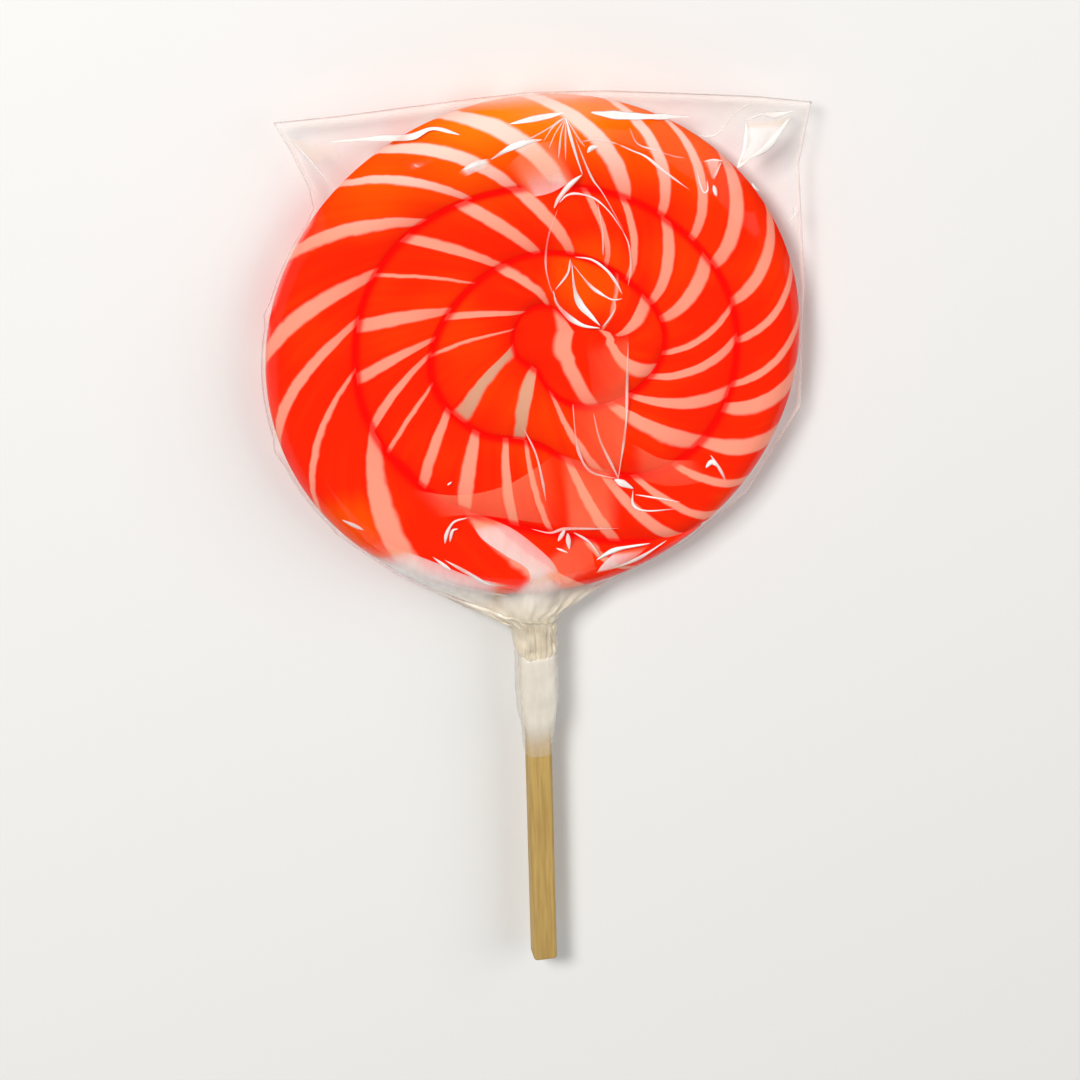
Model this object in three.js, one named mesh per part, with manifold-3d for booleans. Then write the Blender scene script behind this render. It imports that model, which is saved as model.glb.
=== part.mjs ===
// Swirl lollipop lying on its back: a rope of boiled sugar coiled into a disc, on a square wooden
// stick, in a clear film pouch that is gathered round the stick and held there with clear tape.
// Millimetres, +Z up. The shown face looks up, the head of the disc points to +Y and the stick runs
// to -Y. Sizes are measured from the disc's centre; at the end the whole is moved so that the
// origin is the middle of its footprint on the ground.
import * as THREE from "three";
import { mergeVertices } from "three/addons/utils/BufferGeometryUtils.js";
import Module from "manifold-3d";

// Candy disc. Heights are measured from the disc's middle plane.
const RIM_RADIUS = 43;
const RIM_ROUNDING = 6.5;
const FACE_HEIGHT = 6;
const REST_HEIGHT = 5.6;
const GROOVE_DEPTH = 2.1;
const EYE_DEPTH = 1.4;
const CREST_POWER = 2.2;
const CROWDING_AT_RIM = 1.6;

// The groove between the laps of the rope winds clockwise towards the eye of the swirl. Its radius
// is given in each of eight directions, lap by lap, from four thirty on the clock face onwards.
const HOURS_PER_LAP = 12;
const HOURS_PER_RADIUS = 1.5;
const FIRST_RADIUS_HOUR = 4.5;
const GROOVE_RADII = [
  [43, 30.3, 27.9, 29.2, 31.4, 29.8, 30.3, 31.9],
  [29.6, 14.9, 15.3, 17.5, 17.4, 18.5, 18.7, 19.9],
  [12.6, 2.9, 1.4, 2.3, 5.9, 9.7, 8.0, 14.8],
];

// Rings of the surface stand across the rope, and ten steps cross each of them. A ring's number
// counts the thirds of an hour: the tail and the tip are the two ends of the rope, and the groove
// round the tip ends at the eye.
const RINGS_PER_HOUR = 3;
const STEPS_ACROSS = 10;
const LAP = HOURS_PER_LAP * RINGS_PER_HOUR;
const TAIL = 14;
const TIP = 106;
const EYE = TIP + STEPS_ACROSS;
const GROOVE_FADE = 6;
const TURN = 6;

// Wooden stick, square with softened edges, a little left of the middle.
const STICK_SIZE = 4;
const STICK_EDGE = 0.7;
const STICK_END_BEVEL = 0.4;
const STICK_X = -1.2;
const STICK_TOP = -14;
const STICK_END = -114;
const GAP = 0.3;
const BEYOND = 5;

// Film pouch. Its edge lies in the disc's middle plane, and its outline is given from the top
// left corner clockwise; where the outline would cut the rim, the film hugs the rim instead.
const FILM_THICKNESS = 0.6;
const FILM_HUG_ANGLE = 35;
const FILM_CUT_ANGLE = FILM_HUG_ANGLE + 3;
const POINTS_PER_SIDE = 4;
const RIM_ARC_STEPS = 8;
const STEPS_ROUND_DISC = 60;
const POUCH_OUTLINE = [
  [-39.6, 42.9],
  [-19, 43.4],
  [0, 43.9],
  [25, 41.2],
  [44.9, 37.8],
  [42.9, 27.5],
  [44, 7],
  [43.2, -15],
  [34.5, -29.5],
  [24, -37.5],
  [11, -43.2],
  [2.2, -48.5],
  [-4.6, -48.5],
  [-13, -44.4],
  [-24, -37.2],
  [-33, -28.8],
  [-42, -14],
  [-42.6, 13],
  [-34.2, 30.5],
];

// Gathered neck of the pouch: distance along the stick, half width and half height of the film.
const NECK = [
  [-38, 19, 4.2],
  [-41.5, 15.5, 4.2],
  [-44.5, 9.5, 4],
  [-46.8, 5.6, 3.7],
  [-49, 3.7, 3.4],
  [-51.5, 3.45, 3.3],
  [-53.4, 3.3, 3.2],
  [-54.2, 2.75, 2.75],
  [-70, 2.75, 2.75],
];
const NECK_PLEATS = 9;
const PLEAT_DEPTH = 0.3;

// Clear tape wound round the neck, tapering down onto the stick. The tape and the neck are squarish
// ovals.
const TAPE_WALL = 0.35;
const TAPE = [
  [-54.4, 3.4],
  [-58, 3.45],
  [-66, 3.5],
  [-70.6, 3.25],
  [-73.4, 2.65],
];
const SQUARENESS = 3.2;
const POINTS_ROUND = 36;

// Points of a solid that are nearer than this are one point.
const MERGE_DISTANCE = 1e-4;

const wasm = await Module();
wasm.setup();

const degrees = THREE.MathUtils.degToRad;
const { clamp, lerp, smoothstep } = THREE.MathUtils;

// A point of the middle plane at an hour of the clock face, twelve being the head of the disc.
function clockPoint(hour, radius) {
  const angle = (hour / HOURS_PER_LAP) * 2 * Math.PI;
  return new THREE.Vector2(radius * Math.sin(angle), radius * Math.cos(angle));
}

// Radius of the groove at an hour: a Catmull-Rom curve through the given radii.
function grooveRadius(hour) {
  const radii = GROOVE_RADII.flat();
  const place = (hour - FIRST_RADIUS_HOUR) / HOURS_PER_RADIUS;
  const first = clamp(Math.floor(place), 0, radii.length - 2);
  const at = (i) => radii[clamp(i, 0, radii.length - 1)];
  const [before, from, to, after] = [-1, 0, 1, 2].map((i) => at(first + i));
  const t = place - first;
  const bend = (3 * (from - to) + after - before) * t + 2 * before - 5 * from + 4 * to - after;
  return from + 0.5 * t * (to - before + t * bend);
}

// Height of the disc's face without its grooves: flat, then rounded over at the rim.
function faceHeight(radius) {
  const out = clamp((radius - RIM_RADIUS + RIM_ROUNDING) / RIM_ROUNDING, 0, 1);
  return FACE_HEIGHT * Math.sqrt(1 - out * out);
}

// The rope's edge at a ring: the rim up to the tail, and the groove from there to the eye.
function edgeAt(ring) {
  const place = Math.min(ring, EYE);
  const hour = place / RINGS_PER_HOUR;
  const radius = place <= TAIL ? RIM_RADIUS : Math.min(grooveRadius(hour), RIM_RADIUS);
  const deep = lerp(GROOVE_DEPTH, EYE_DEPTH, smoothstep(place, TIP, EYE));
  const depth = deep * smoothstep(RIM_RADIUS - radius, 0, GROOVE_FADE);
  return { point: clockPoint(hour % HOURS_PER_LAP, radius), radius, depth };
}

// Edge points from one ring to another.
function edgesBetween(from, to) {
  return Array.from({ length: to - from + 1 }, (_, i) => edgeAt(from + i));
}

// The edge point nearest to a place, and how far it is.
function nearest(edges, place) {
  const distances = edges.map((edge) => edge.point.distanceTo(place));
  const distance = Math.min(...distances);
  return { distance, depth: edges[distances.indexOf(distance)].depth };
}

// Face height less the grooves on the two sides of the strand, q running across it from 0 to 1.
function strandHeight(radius, q, outerDepth, innerDepth) {
  const outer = outerDepth * Math.max(0, 1 - 2 * q) ** CREST_POWER;
  const inner = innerDepth * Math.max(0, 2 * q - 1) ** CREST_POWER;
  return faceHeight(radius) - outer - inner;
}

// One ring of the upper surface, from the strand's outer edge to its inner edge. Past the eye the
// rings fan round it, and the last of them lies along the groove that ends there.
function strandRing(ring) {
  const outer = edgeAt(ring - LAP);
  const inner = edgeAt(ring);
  const lowerEdge = edgesBetween(EYE - LAP, TIP);
  const eyeGroove = edgesBetween(TIP, EYE);
  const turned = smoothstep(ring, EYE, EYE + TURN);
  const crowding = lerp(CROWDING_AT_RIM, 1, smoothstep(RIM_RADIUS - outer.radius, 0, GROOVE_FADE));
  return Array.from({ length: STEPS_ACROSS + 1 }, (_, step) => {
    if (ring === TIP + LAP) {
      const edge = eyeGroove[step];
      return new THREE.Vector3(edge.point.x, edge.point.y, faceHeight(edge.radius) - edge.depth);
    }
    const across = (step / STEPS_ACROSS) ** crowding;
    const place = outer.point.clone().lerp(inner.point, across);
    const low = nearest(lowerEdge, place);
    const high = nearest(eyeGroove, place);
    const between = low.distance + high.distance || 1;
    const q = lerp(across, low.distance / between, turned);
    const innerDepth = lerp(inner.depth, high.depth, turned);
    return new THREE.Vector3(
      place.x,
      place.y,
      strandHeight(place.length(), step === 0 ? 0 : q, outer.depth, innerDepth),
    );
  });
}

// How sharply two triangles that share the diagonal p-r of a patch are folded: 1 when level.
function levelness(p, q, r, s) {
  const one = new THREE.Triangle(p, q, r).getNormal(new THREE.Vector3());
  const other = new THREE.Triangle(p, r, s).getNormal(new THREE.Vector3());
  return one.dot(other);
}

// Triangles between neighbouring rings of points, each patch split along the diagonal that folds
// it less; flip turns them to face the other way.
function sheet(rings, flip) {
  const corners = [];
  for (let i = 1; i < rings.length; i++) {
    for (let j = 1; j < rings[i].length; j++) {
      const [a, b, c, d] = [rings[i - 1][j - 1], rings[i - 1][j], rings[i][j], rings[i][j - 1]];
      const turned = levelness(b, c, d, a) > levelness(a, b, c, d);
      const [p, q, r, s] = turned ? [b, c, d, a] : [a, b, c, d];
      corners.push(...(flip ? [p, r, q, p, s, r] : [p, q, r, p, r, s]));
    }
  }
  return corners;
}

// A closed body from triangle corners: corners that coincide are merged, and triangles that have
// shrunk to a line are dropped.
function solidFromCorners(corners) {
  const geometry = new THREE.BufferGeometry().setFromPoints(corners);
  return solidFromGeometry(geometry);
}

function solidFromGeometry(geometry) {
  const bare = geometry.index ? geometry.toNonIndexed() : geometry.clone();
  bare.deleteAttribute("normal");
  bare.deleteAttribute("uv");
  const merged = mergeVertices(bare, MERGE_DISTANCE);
  const triVerts = [];
  for (let i = 0; i < merged.index.count; i += 3) {
    const [a, b, c] = merged.index.array.slice(i, i + 3);
    if (a !== b && b !== c && c !== a) triVerts.push(a, b, c);
  }
  const vertProperties = new Float32Array(merged.attributes.position.array);
  const mesh = new wasm.Mesh({
    numProp: 3,
    vertProperties,
    triVerts: new Uint32Array(triVerts),
  });
  return new wasm.Manifold(mesh);
}

// A body lofted through rings that are each closed and run the same way, with flat ends.
function loft(rings) {
  const closed = rings.map((ring) => [...ring, ring[0]]);
  const corners = sheet(closed, false);
  const middle = (ring) =>
    ring.reduce((sum, p) => sum.add(p), new THREE.Vector3()).divideScalar(ring.length);
  const ends = [
    [rings[0], true],
    [rings[rings.length - 1], false],
  ];
  for (const [ring, flip] of ends) {
    const hub = middle(ring);
    corners.push(...sheet([[...ring, ring[0]], new Array(ring.length + 1).fill(hub)], flip));
  }
  return solidFromCorners(corners);
}

// A node's mesh from a solid, lifted so that the disc's underside lies on the ground.
function nodeMesh(name, solid, look) {
  const mesh = solid.getMesh();
  const geometry = new THREE.BufferGeometry();
  geometry.setAttribute("position", new THREE.BufferAttribute(mesh.vertProperties, mesh.numProp));
  geometry.setIndex(new THREE.BufferAttribute(mesh.triVerts, 1));
  geometry.computeVertexNormals();
  const node = new THREE.Mesh(geometry, new THREE.MeshStandardMaterial(look));
  node.name = name;
  node.position.z = REST_HEIGHT;
  return node;
}

// A square bar with softened edges along the stick's line, larger than the stick by a margin.
function stickBar(top, end, margin, bevel) {
  const half = STICK_SIZE / 2 + margin;
  const edge = STICK_EDGE + margin;
  const flat = half - edge;
  const outline = new THREE.Shape();
  outline.moveTo(half, -flat);
  outline.lineTo(half, flat);
  outline.absarc(flat, flat, edge, 0, Math.PI / 2);
  outline.absarc(-flat, flat, edge, Math.PI / 2, Math.PI);
  outline.absarc(-flat, -flat, edge, Math.PI, 1.5 * Math.PI);
  outline.absarc(flat, -flat, edge, 1.5 * Math.PI, 2 * Math.PI);
  const bar = new THREE.ExtrudeGeometry(outline, {
    depth: top - end - 2 * bevel,
    curveSegments: 3,
    bevelEnabled: bevel > 0,
    bevelThickness: bevel,
    bevelSize: bevel,
    bevelOffset: -bevel,
    bevelSegments: 2,
  });
  bar.rotateX(Math.PI / 2);
  bar.translate(STICK_X, top - bevel, 0);
  return solidFromGeometry(bar);
}

// The coiled rope, with the hole that the stick stands in.
function candySolid() {
  const rings = TIP + LAP - TAIL + 1;
  const upper = Array.from({ length: rings }, (_, i) => strandRing(TAIL + i));
  const lower = upper.map((ring) =>
    ring.map((p) => new THREE.Vector3(p.x, p.y, -Math.min(p.z, REST_HEIGHT))),
  );
  const coil = solidFromCorners([...sheet(upper, false), ...sheet(lower, true)]);
  return coil.subtract(stickBar(STICK_TOP + GAP, -RIM_RADIUS - BEYOND, GAP, 0));
}

// The space that the disc takes up in the pouch: its rounded rim with the gap, and all that is
// above and below its faces.
function discSpace() {
  const reach = RIM_ROUNDING + GAP;
  const centre = RIM_RADIUS - RIM_ROUNDING;
  const open = degrees(FILM_CUT_ANGLE);
  const arc = Array.from({ length: RIM_ARC_STEPS + 1 }, (_, i) => {
    const angle = lerp(-open, open, i / RIM_ARC_STEPS);
    return new THREE.Vector2(centre + reach * Math.cos(angle), reach * Math.sin(angle));
  });
  const tall = FACE_HEIGHT + BEYOND;
  const wall = arc[0].x;
  const profile = [
    new THREE.Vector2(0, -tall),
    new THREE.Vector2(wall, -tall),
    ...arc,
    new THREE.Vector2(wall, tall),
    new THREE.Vector2(0, tall),
  ];
  const lathe = new THREE.LatheGeometry(profile, STEPS_ROUND_DISC);
  lathe.rotateX(Math.PI / 2);
  return solidFromGeometry(lathe);
}

// Outline of the pouch with a point every few millimetres, so that it can follow the rim.
function pouchOutline() {
  return POUCH_OUTLINE.flatMap((corner, i) => {
    const next = POUCH_OUTLINE[(i + 1) % POUCH_OUTLINE.length];
    const [from, to] = [new THREE.Vector2(...corner), new THREE.Vector2(...next)];
    return Array.from({ length: POINTS_PER_SIDE }, (_, k) =>
      from.clone().lerp(to, k / POINTS_PER_SIDE),
    );
  });
}

// The pouch as a flat pillow: its faces slope from the rim of the disc down to its edge.
function pillow() {
  const centre = RIM_RADIUS - RIM_ROUNDING;
  const reach = RIM_ROUNDING + GAP + FILM_THICKNESS;
  const top = degrees(FILM_HUG_ANGLE);
  const shoulder = [centre + reach * Math.cos(top), reach * Math.sin(top)];
  const cheek = [centre + reach * Math.cos(top / 2), reach * Math.sin(top / 2)];
  const edgeHeight = FILM_THICKNESS / 2;
  const profiles = pouchOutline().map((p) => {
    const radius = Math.max(p.length(), centre + reach);
    const half = [
      [0, shoulder[1]],
      shoulder,
      [Math.max(cheek[0], lerp(shoulder[0], radius, 0.5)), cheek[1]],
      [radius, edgeHeight],
    ];
    const whole = [...half, ...half.toReversed().map(([r, z]) => [r, -z])];
    const along = p.clone().normalize();
    return whole.map(([r, z]) => new THREE.Vector3(along.x * r, along.y * r, z));
  });
  profiles.push(profiles[0]);
  return solidFromCorners(sheet(profiles, true));
}

// A ring round the stick's line: a squarish oval whose outline is pleated by a ripple.
function ringRound(y, halfWidth, halfHeight, pleat) {
  return Array.from({ length: POINTS_ROUND }, (_, i) => {
    const angle = (i / POINTS_ROUND) * 2 * Math.PI;
    const [c, s] = [Math.cos(angle), Math.sin(angle)];
    const square = (v) => Math.sign(v) * Math.abs(v) ** (2 / SQUARENESS);
    const fold = 1 - pleat * (0.5 + 0.5 * Math.cos(NECK_PLEATS * angle));
    return new THREE.Vector3(
      STICK_X + halfWidth * fold * square(c),
      y,
      halfHeight * fold * square(s),
    );
  });
}

// The clear pouch: pillow and gathered neck, open where the disc and the stick are.
function wrapperSolid() {
  const neck = loft(
    NECK.map(([y, width, height]) => {
      const bare = height - STICK_SIZE / 2 - GAP;
      const pleat = height > NECK.at(-1)[2] ? Math.min(PLEAT_DEPTH, bare / 2) / height : 0;
      return ringRound(y, width, height, pleat);
    }),
  );
  return pillow()
    .add(neck)
    .subtract(discSpace())
    .subtract(stickBar(0, STICK_END, GAP, 0));
}

// The tape: a thin sleeve over the neck, and over the bare stick at its lower end.
function tapeSolid() {
  const outside = loft(TAPE.map(([y, size]) => ringRound(y, size, size, 0)));
  const inside = loft(
    TAPE.map(([y, size], i) => {
      const past = i === 0 ? BEYOND : i === TAPE.length - 1 ? -BEYOND : 0;
      return ringRound(y + past, size - TAPE_WALL, size - TAPE_WALL, 0);
    }),
  );
  return outside.subtract(inside);
}

const lollipop = new THREE.Group();
lollipop.add(
  nodeMesh("candy", candySolid(), { color: 0xff3a0c, roughness: 0.16, metalness: 0 }),
  nodeMesh("stick", stickBar(STICK_TOP, STICK_END, 0, STICK_END_BEVEL), {
    color: 0xc6a468,
    roughness: 0.7,
    metalness: 0,
  }),
  nodeMesh("wrapper", wrapperSolid(), { color: 0xf3e9e2, roughness: 0.1, metalness: 0 }),
  nodeMesh("tape", tapeSolid(), { color: 0xe6dcc8, roughness: 0.25, metalness: 0 }),
);

const box = new THREE.Box3().setFromObject(lollipop);
const middle = box.getCenter(new THREE.Vector3());
lollipop.position.set(-middle.x, -middle.y, -box.min.z);

export default lollipop;
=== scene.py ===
"""Swirl lollipop: a coiled rope of striped boiled sugar on a wooden stick, in a clear film pouch.

The lollipop lies on a pale floor with its shown face up. Shapes are worked out in millimetres
about the disc's centre, with +Y towards the head of the disc and the stick along -Y, and are then
put in the row frame in metres.
"""

import logging
import math
from dataclasses import astuple, dataclass, field
from enum import Enum

import bmesh
import bpy
import numpy as np
from mathutils import Matrix, Vector


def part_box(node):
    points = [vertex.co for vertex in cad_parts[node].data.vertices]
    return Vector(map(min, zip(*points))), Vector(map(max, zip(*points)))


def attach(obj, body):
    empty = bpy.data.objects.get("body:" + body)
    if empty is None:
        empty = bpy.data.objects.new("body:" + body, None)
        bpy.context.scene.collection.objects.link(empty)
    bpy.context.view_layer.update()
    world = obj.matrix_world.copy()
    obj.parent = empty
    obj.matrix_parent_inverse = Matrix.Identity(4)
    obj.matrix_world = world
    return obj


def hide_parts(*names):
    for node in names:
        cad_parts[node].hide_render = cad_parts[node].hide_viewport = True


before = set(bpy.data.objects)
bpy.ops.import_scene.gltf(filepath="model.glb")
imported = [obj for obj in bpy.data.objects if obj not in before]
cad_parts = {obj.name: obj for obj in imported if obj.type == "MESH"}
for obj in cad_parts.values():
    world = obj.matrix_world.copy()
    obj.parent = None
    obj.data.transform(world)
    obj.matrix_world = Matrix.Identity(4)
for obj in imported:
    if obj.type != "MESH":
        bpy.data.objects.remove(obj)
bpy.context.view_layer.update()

LOG = logging.getLogger("lollipop")
MM = 0.001  # metres
WELD = 0.002  # millimetres within which points become one
LATTICE = 64  # cells along each side of a lattice of hills
BODY = "root"
Array = np.ndarray
Line = tuple[tuple[float, float], ...]
Span = tuple[float, float]
Place = tuple[float, float, float]
Rgb = tuple[float, float, float]


# ---- numbers and curves


def smoothstep(value: Array, low: float, high: float) -> Array:
    """A rise from 0 to 1: 3 t^2 - 2 t^3, with t the share of the way from low to high."""
    t = np.clip((np.asarray(value, float) - low) / (high - low), 0.0, 1.0)
    return t * t * (3.0 - 2.0 * t)


def plateau(value: Array, rise: Span, fall: Span) -> Array:
    """A smooth step up from 0 to 1 over one span, and down again over another."""
    return smoothstep(value, *rise) * (1 - smoothstep(value, *fall))


def lerp(start: Array, end: Array, share: Array) -> Array:
    """The value that lies a share of the way from start to end."""
    return start + (end - start) * share


def catmull_rom(a: Array, b: Array, c: Array, d: Array, share: Array) -> Array:
    """A Catmull-Rom curve a share of the way from b to c; a comes before them and d after."""
    bend = (3 * (b - c) + d - a) * share + 2 * a - 5 * b + 4 * c - d
    return b + 0.5 * share * (c - a + share * bend)


def smooth_line(points: Array, count: int) -> Array:
    """A Catmull-Rom curve through points, one row each, read at count evenly spaced steps."""
    padded = np.vstack([2 * points[0] - points[1], points, 2 * points[-1] - points[-2]])
    place = np.linspace(0, len(points) - 1, count)
    first = np.minimum(place.astype(int), len(points) - 2)
    return catmull_rom(*(padded[first + k] for k in range(4)), (place - first)[:, None])


class Hills(Enum):
    """Soft random hills over the plane: a lattice of seeded heights joined by smooth steps.

    Each kind has its seed and the width of its lattice cells in millimetres.
    """

    SLACK = (11, 5.5)
    FINE = (23, 2.2)
    DRIFT = (37, 9.0)
    PATCHY = (51, 3.0)
    STREAKY = (52, 1.3)
    RAGGED = (61, 1.1)
    PUCKER = (71, 1.0)
    SMALL_PUCKER = (72, 0.9)
    TAPE_EDGE = (73, 1.6)
    LUMPS = (81, 1.3)
    CREASE_SIZE = (91, 2.6)
    CREASE_HAZE = (92, 3.4)

    def at(self, x: Array, y: Array, shift: int = 0) -> Array:
        """Height of the hills at a place.

        Args:
            x: Across, in millimetres.
            y: Along.
            shift: Added to the seed, so that each side has hills of its own.

        Returns:
            Heights between -1 and 1.
        """
        seed, cell = self.value
        lattice = np.random.default_rng(seed + shift).uniform(-1, 1, (LATTICE, LATTICE))
        u, v = np.asarray(x) / cell, np.asarray(y) / cell
        i, j = np.floor(u).astype(int), np.floor(v).astype(int)
        a, b = smoothstep(u - i, 0, 1), smoothstep(v - j, 0, 1)
        near, far = (
            lerp(*(lattice[(i + p) % LATTICE, (j + q) % LATTICE] for p in (0, 1)), a)
            for q in (0, 1)
        )
        return lerp(near, far, b)


# ---- meshes


@dataclass(frozen=True)
class DiscFrame:
    """Where the disc's centre lies in the row frame, in metres, and its sizes in millimetres."""

    x: float
    y: float
    z: float
    rim_radius: float = 43.0
    rim_rounding: float = 6.5
    face_height: float = 6.0

    @property
    def centre(self) -> Vector:
        """The disc's centre."""
        return Vector((self.x, self.y, self.z))

    def to_row(self, points: Array) -> Array:
        """Points in millimetres about the disc's centre, as metres in the row frame."""
        return points * MM + np.array([self.x, self.y, self.z])


@dataclass
class Surface:
    """Points and patches of a surface, gathered before it becomes a mesh."""

    points: Array
    faces: Array
    maps: dict[str, Array] = field(default_factory=dict)
    values: dict[str, Array] = field(default_factory=dict)

    @staticmethod
    def grid(points: Array, flip: bool = False, around: bool = False) -> "Surface":
        """A surface over a grid of points.

        Args:
            points: Grid of points, rows x columns x 3.
            flip: Turns the faces to the other side.
            around: Joins the last column to the first.

        Returns:
            The surface, with one four-sided face between neighbouring points.
        """
        rows, columns = points.shape[:2]
        number = np.arange(rows * columns).reshape(rows, columns)
        if around:
            number = np.hstack([number, number[:, :1]])
        corners = [number[:-1, :-1], number[:-1, 1:], number[1:, 1:], number[1:, :-1]]
        faces = np.stack(corners, axis=-1).reshape(-1, 4)
        return Surface(points.reshape(-1, 3), faces[:, ::-1] if flip else faces)

    def joined(self, *others: "Surface") -> "Surface":
        """This surface and others as one, with their maps and values."""
        every = [self, *others]
        starts = np.cumsum([0] + [len(s.points) for s in every[:-1]])
        return Surface(
            np.vstack([s.points for s in every]),
            np.vstack([s.faces + start for s, start in zip(every, starts)]),
            {k: np.vstack([s.maps[k] for s in every]) for k in self.maps},
            {k: np.concatenate([s.values[k] for s in every]) for k in self.values},
        )

    def to_object(self, name: str, place: DiscFrame, weld: float = 0.0) -> bpy.types.Object:
        """Makes the surface a smooth-shaded object whose place is in its mesh.

        Args:
            name: Name of the piece.
            place: Where the disc's centre is.
            weld: Points nearer than this, in millimetres, become one; 0 leaves them.

        Returns:
            The new object.
        """
        mesh = bpy.data.meshes.new(name)
        mesh.from_pydata(place.to_row(self.points), [], self.faces)
        for key, value in self.maps.items():
            layer = mesh.uv_layers.new(name=key)
            layer.data.foreach_set("uv", value[self.faces.ravel()].astype(np.float32).ravel())
        for key, value in self.values.items():
            attribute = mesh.attributes.new(key, "FLOAT", "POINT")
            attribute.data.foreach_set("value", value.astype(np.float32))
        if weld:
            shell = bmesh.new()
            shell.from_mesh(mesh)
            bmesh.ops.remove_doubles(shell, verts=shell.verts, dist=weld * MM)
            shell.to_mesh(mesh)
            shell.free()
        mesh.shade_smooth()
        piece = bpy.data.objects.new(name, mesh)
        bpy.context.scene.collection.objects.link(piece)
        return piece


# ---- node trees


@dataclass(frozen=True)
class Signal:
    """One output in a node tree. Sums on it add Math nodes."""

    nodes: "Nodes"
    socket: bpy.types.NodeSocket

    def __add__(self, other: object) -> "Signal":
        """The sum."""
        return self.nodes.math("ADD", self, other)

    def __sub__(self, other: object) -> "Signal":
        """The difference."""
        return self.nodes.math("SUBTRACT", self, other)

    def __rsub__(self, other: object) -> "Signal":
        """The difference from a plain number."""
        return self.nodes.math("SUBTRACT", other, self)

    def __mul__(self, other: object) -> "Signal":
        """The product."""
        return self.nodes.math("MULTIPLY", self, other)

    def __abs__(self) -> "Signal":
        """The size without its sign."""
        return self.nodes.math("ABSOLUTE", self)


class Nodes:
    """Short hand for building a node tree."""

    def __init__(self, tree: bpy.types.NodeTree) -> None:
        """Works on one tree."""
        self.tree = tree

    def add(self, kind: str, **inputs: object) -> bpy.types.Node:
        """Adds a node.

        Args:
            kind: Blender's name of the node type, without ShaderNode.
            **inputs: The node's properties, in lower case, and its sockets, by names with a
                capital or as _NUMBER.

        Returns:
            The node.
        """
        node = self.tree.nodes.new(kind if kind.startswith("NodeGroup") else "ShaderNode" + kind)
        for key, value in inputs.items():
            if key[0].islower():
                setattr(node, key, value)
        for key, value in inputs.items():
            if not key[0].islower():
                name = int(key[1:]) if key[0] == "_" else key.replace("_", " ")
                self.feed(node.inputs[name], value)
        return node

    def feed(self, socket: bpy.types.NodeSocket, value: object) -> None:
        """Sets a socket to a plain value or from a signal; colours are given without alpha."""
        if isinstance(value, Signal):
            self.tree.links.new(value.socket, socket)
        else:
            socket.default_value = (*value, 1.0) if socket.type == "RGBA" else value

    def outputs(self, node: bpy.types.Node) -> dict[str, Signal]:
        """A node's outputs by name."""
        return {socket.name: Signal(self, socket) for socket in node.outputs}

    def get(self, kind: str, output: int | str = 0, **inputs: object) -> Signal:
        """Adds a node as add does, and gives one of its outputs."""
        return Signal(self, self.add(kind, **inputs).outputs[output])

    def split(self, vector: Signal) -> tuple[Signal, ...]:
        """The three parts of a vector."""
        return tuple(self.outputs(self.add("SeparateXYZ", _0=vector)).values())

    def math(self, operation: str, *values: object) -> Signal:
        """A Math node on its values."""
        sockets = {f"_{number}": value for number, value in enumerate(values)}
        return self.get("Math", operation=operation, **sockets)

    def ramp(self, value: object, low: object, high: object) -> Signal:
        """A smooth step of value from 0 at low to 1 at high."""
        step = {"interpolation_type": "SMOOTHSTEP", "clamp": True}
        return self.get("MapRange", Value=value, From_Min=low, From_Max=high, **step)

    def mix(self, share: object, first: object, second: object) -> Signal:
        """Mixes two colours by a share."""
        kind = {"data_type": "RGBA", "clamp_factor": True}
        return self.get("Mix", 2, _0=share, _6=first, _7=second, **kind)

    def noise(self, vector: Signal, scale: object, detail: float) -> Signal:
        """A noise value at a place, per metre."""
        return self.get("TexNoise", Vector=vector, Scale=scale, Detail=detail)


def new_material(name: str) -> tuple[bpy.types.Material, Nodes]:
    """An empty material and the short hand for its nodes."""
    material = bpy.data.materials.new(name)
    material.use_nodes = True
    material.node_tree.nodes.clear()
    return material, Nodes(material.node_tree)


def dress(piece: bpy.types.Object, material: bpy.types.Material) -> None:
    """Gives a piece its one material."""
    piece.data.materials.clear()
    piece.data.materials.append(material)


# ---- the candy


@dataclass(frozen=True)
class Stripe:
    """One pale stripe across the rope.

    Attributes:
        outer: Hour of the clock face where it meets the rope's outer edge.
        inner: Hour where it meets the inner edge.
        width: Width along the rope, in hours.
        bend: 1 for a straight stripe; more where it starts out square to the rope.
        tan: 0 for a pale pink stripe, 1 for a tan one.
        flare: How many times wider it is at the inner edge.
    """

    outer: float
    inner: float
    width: float
    bend: float = 1.0
    tan: float = 0.0
    flare: float = 1.0


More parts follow.
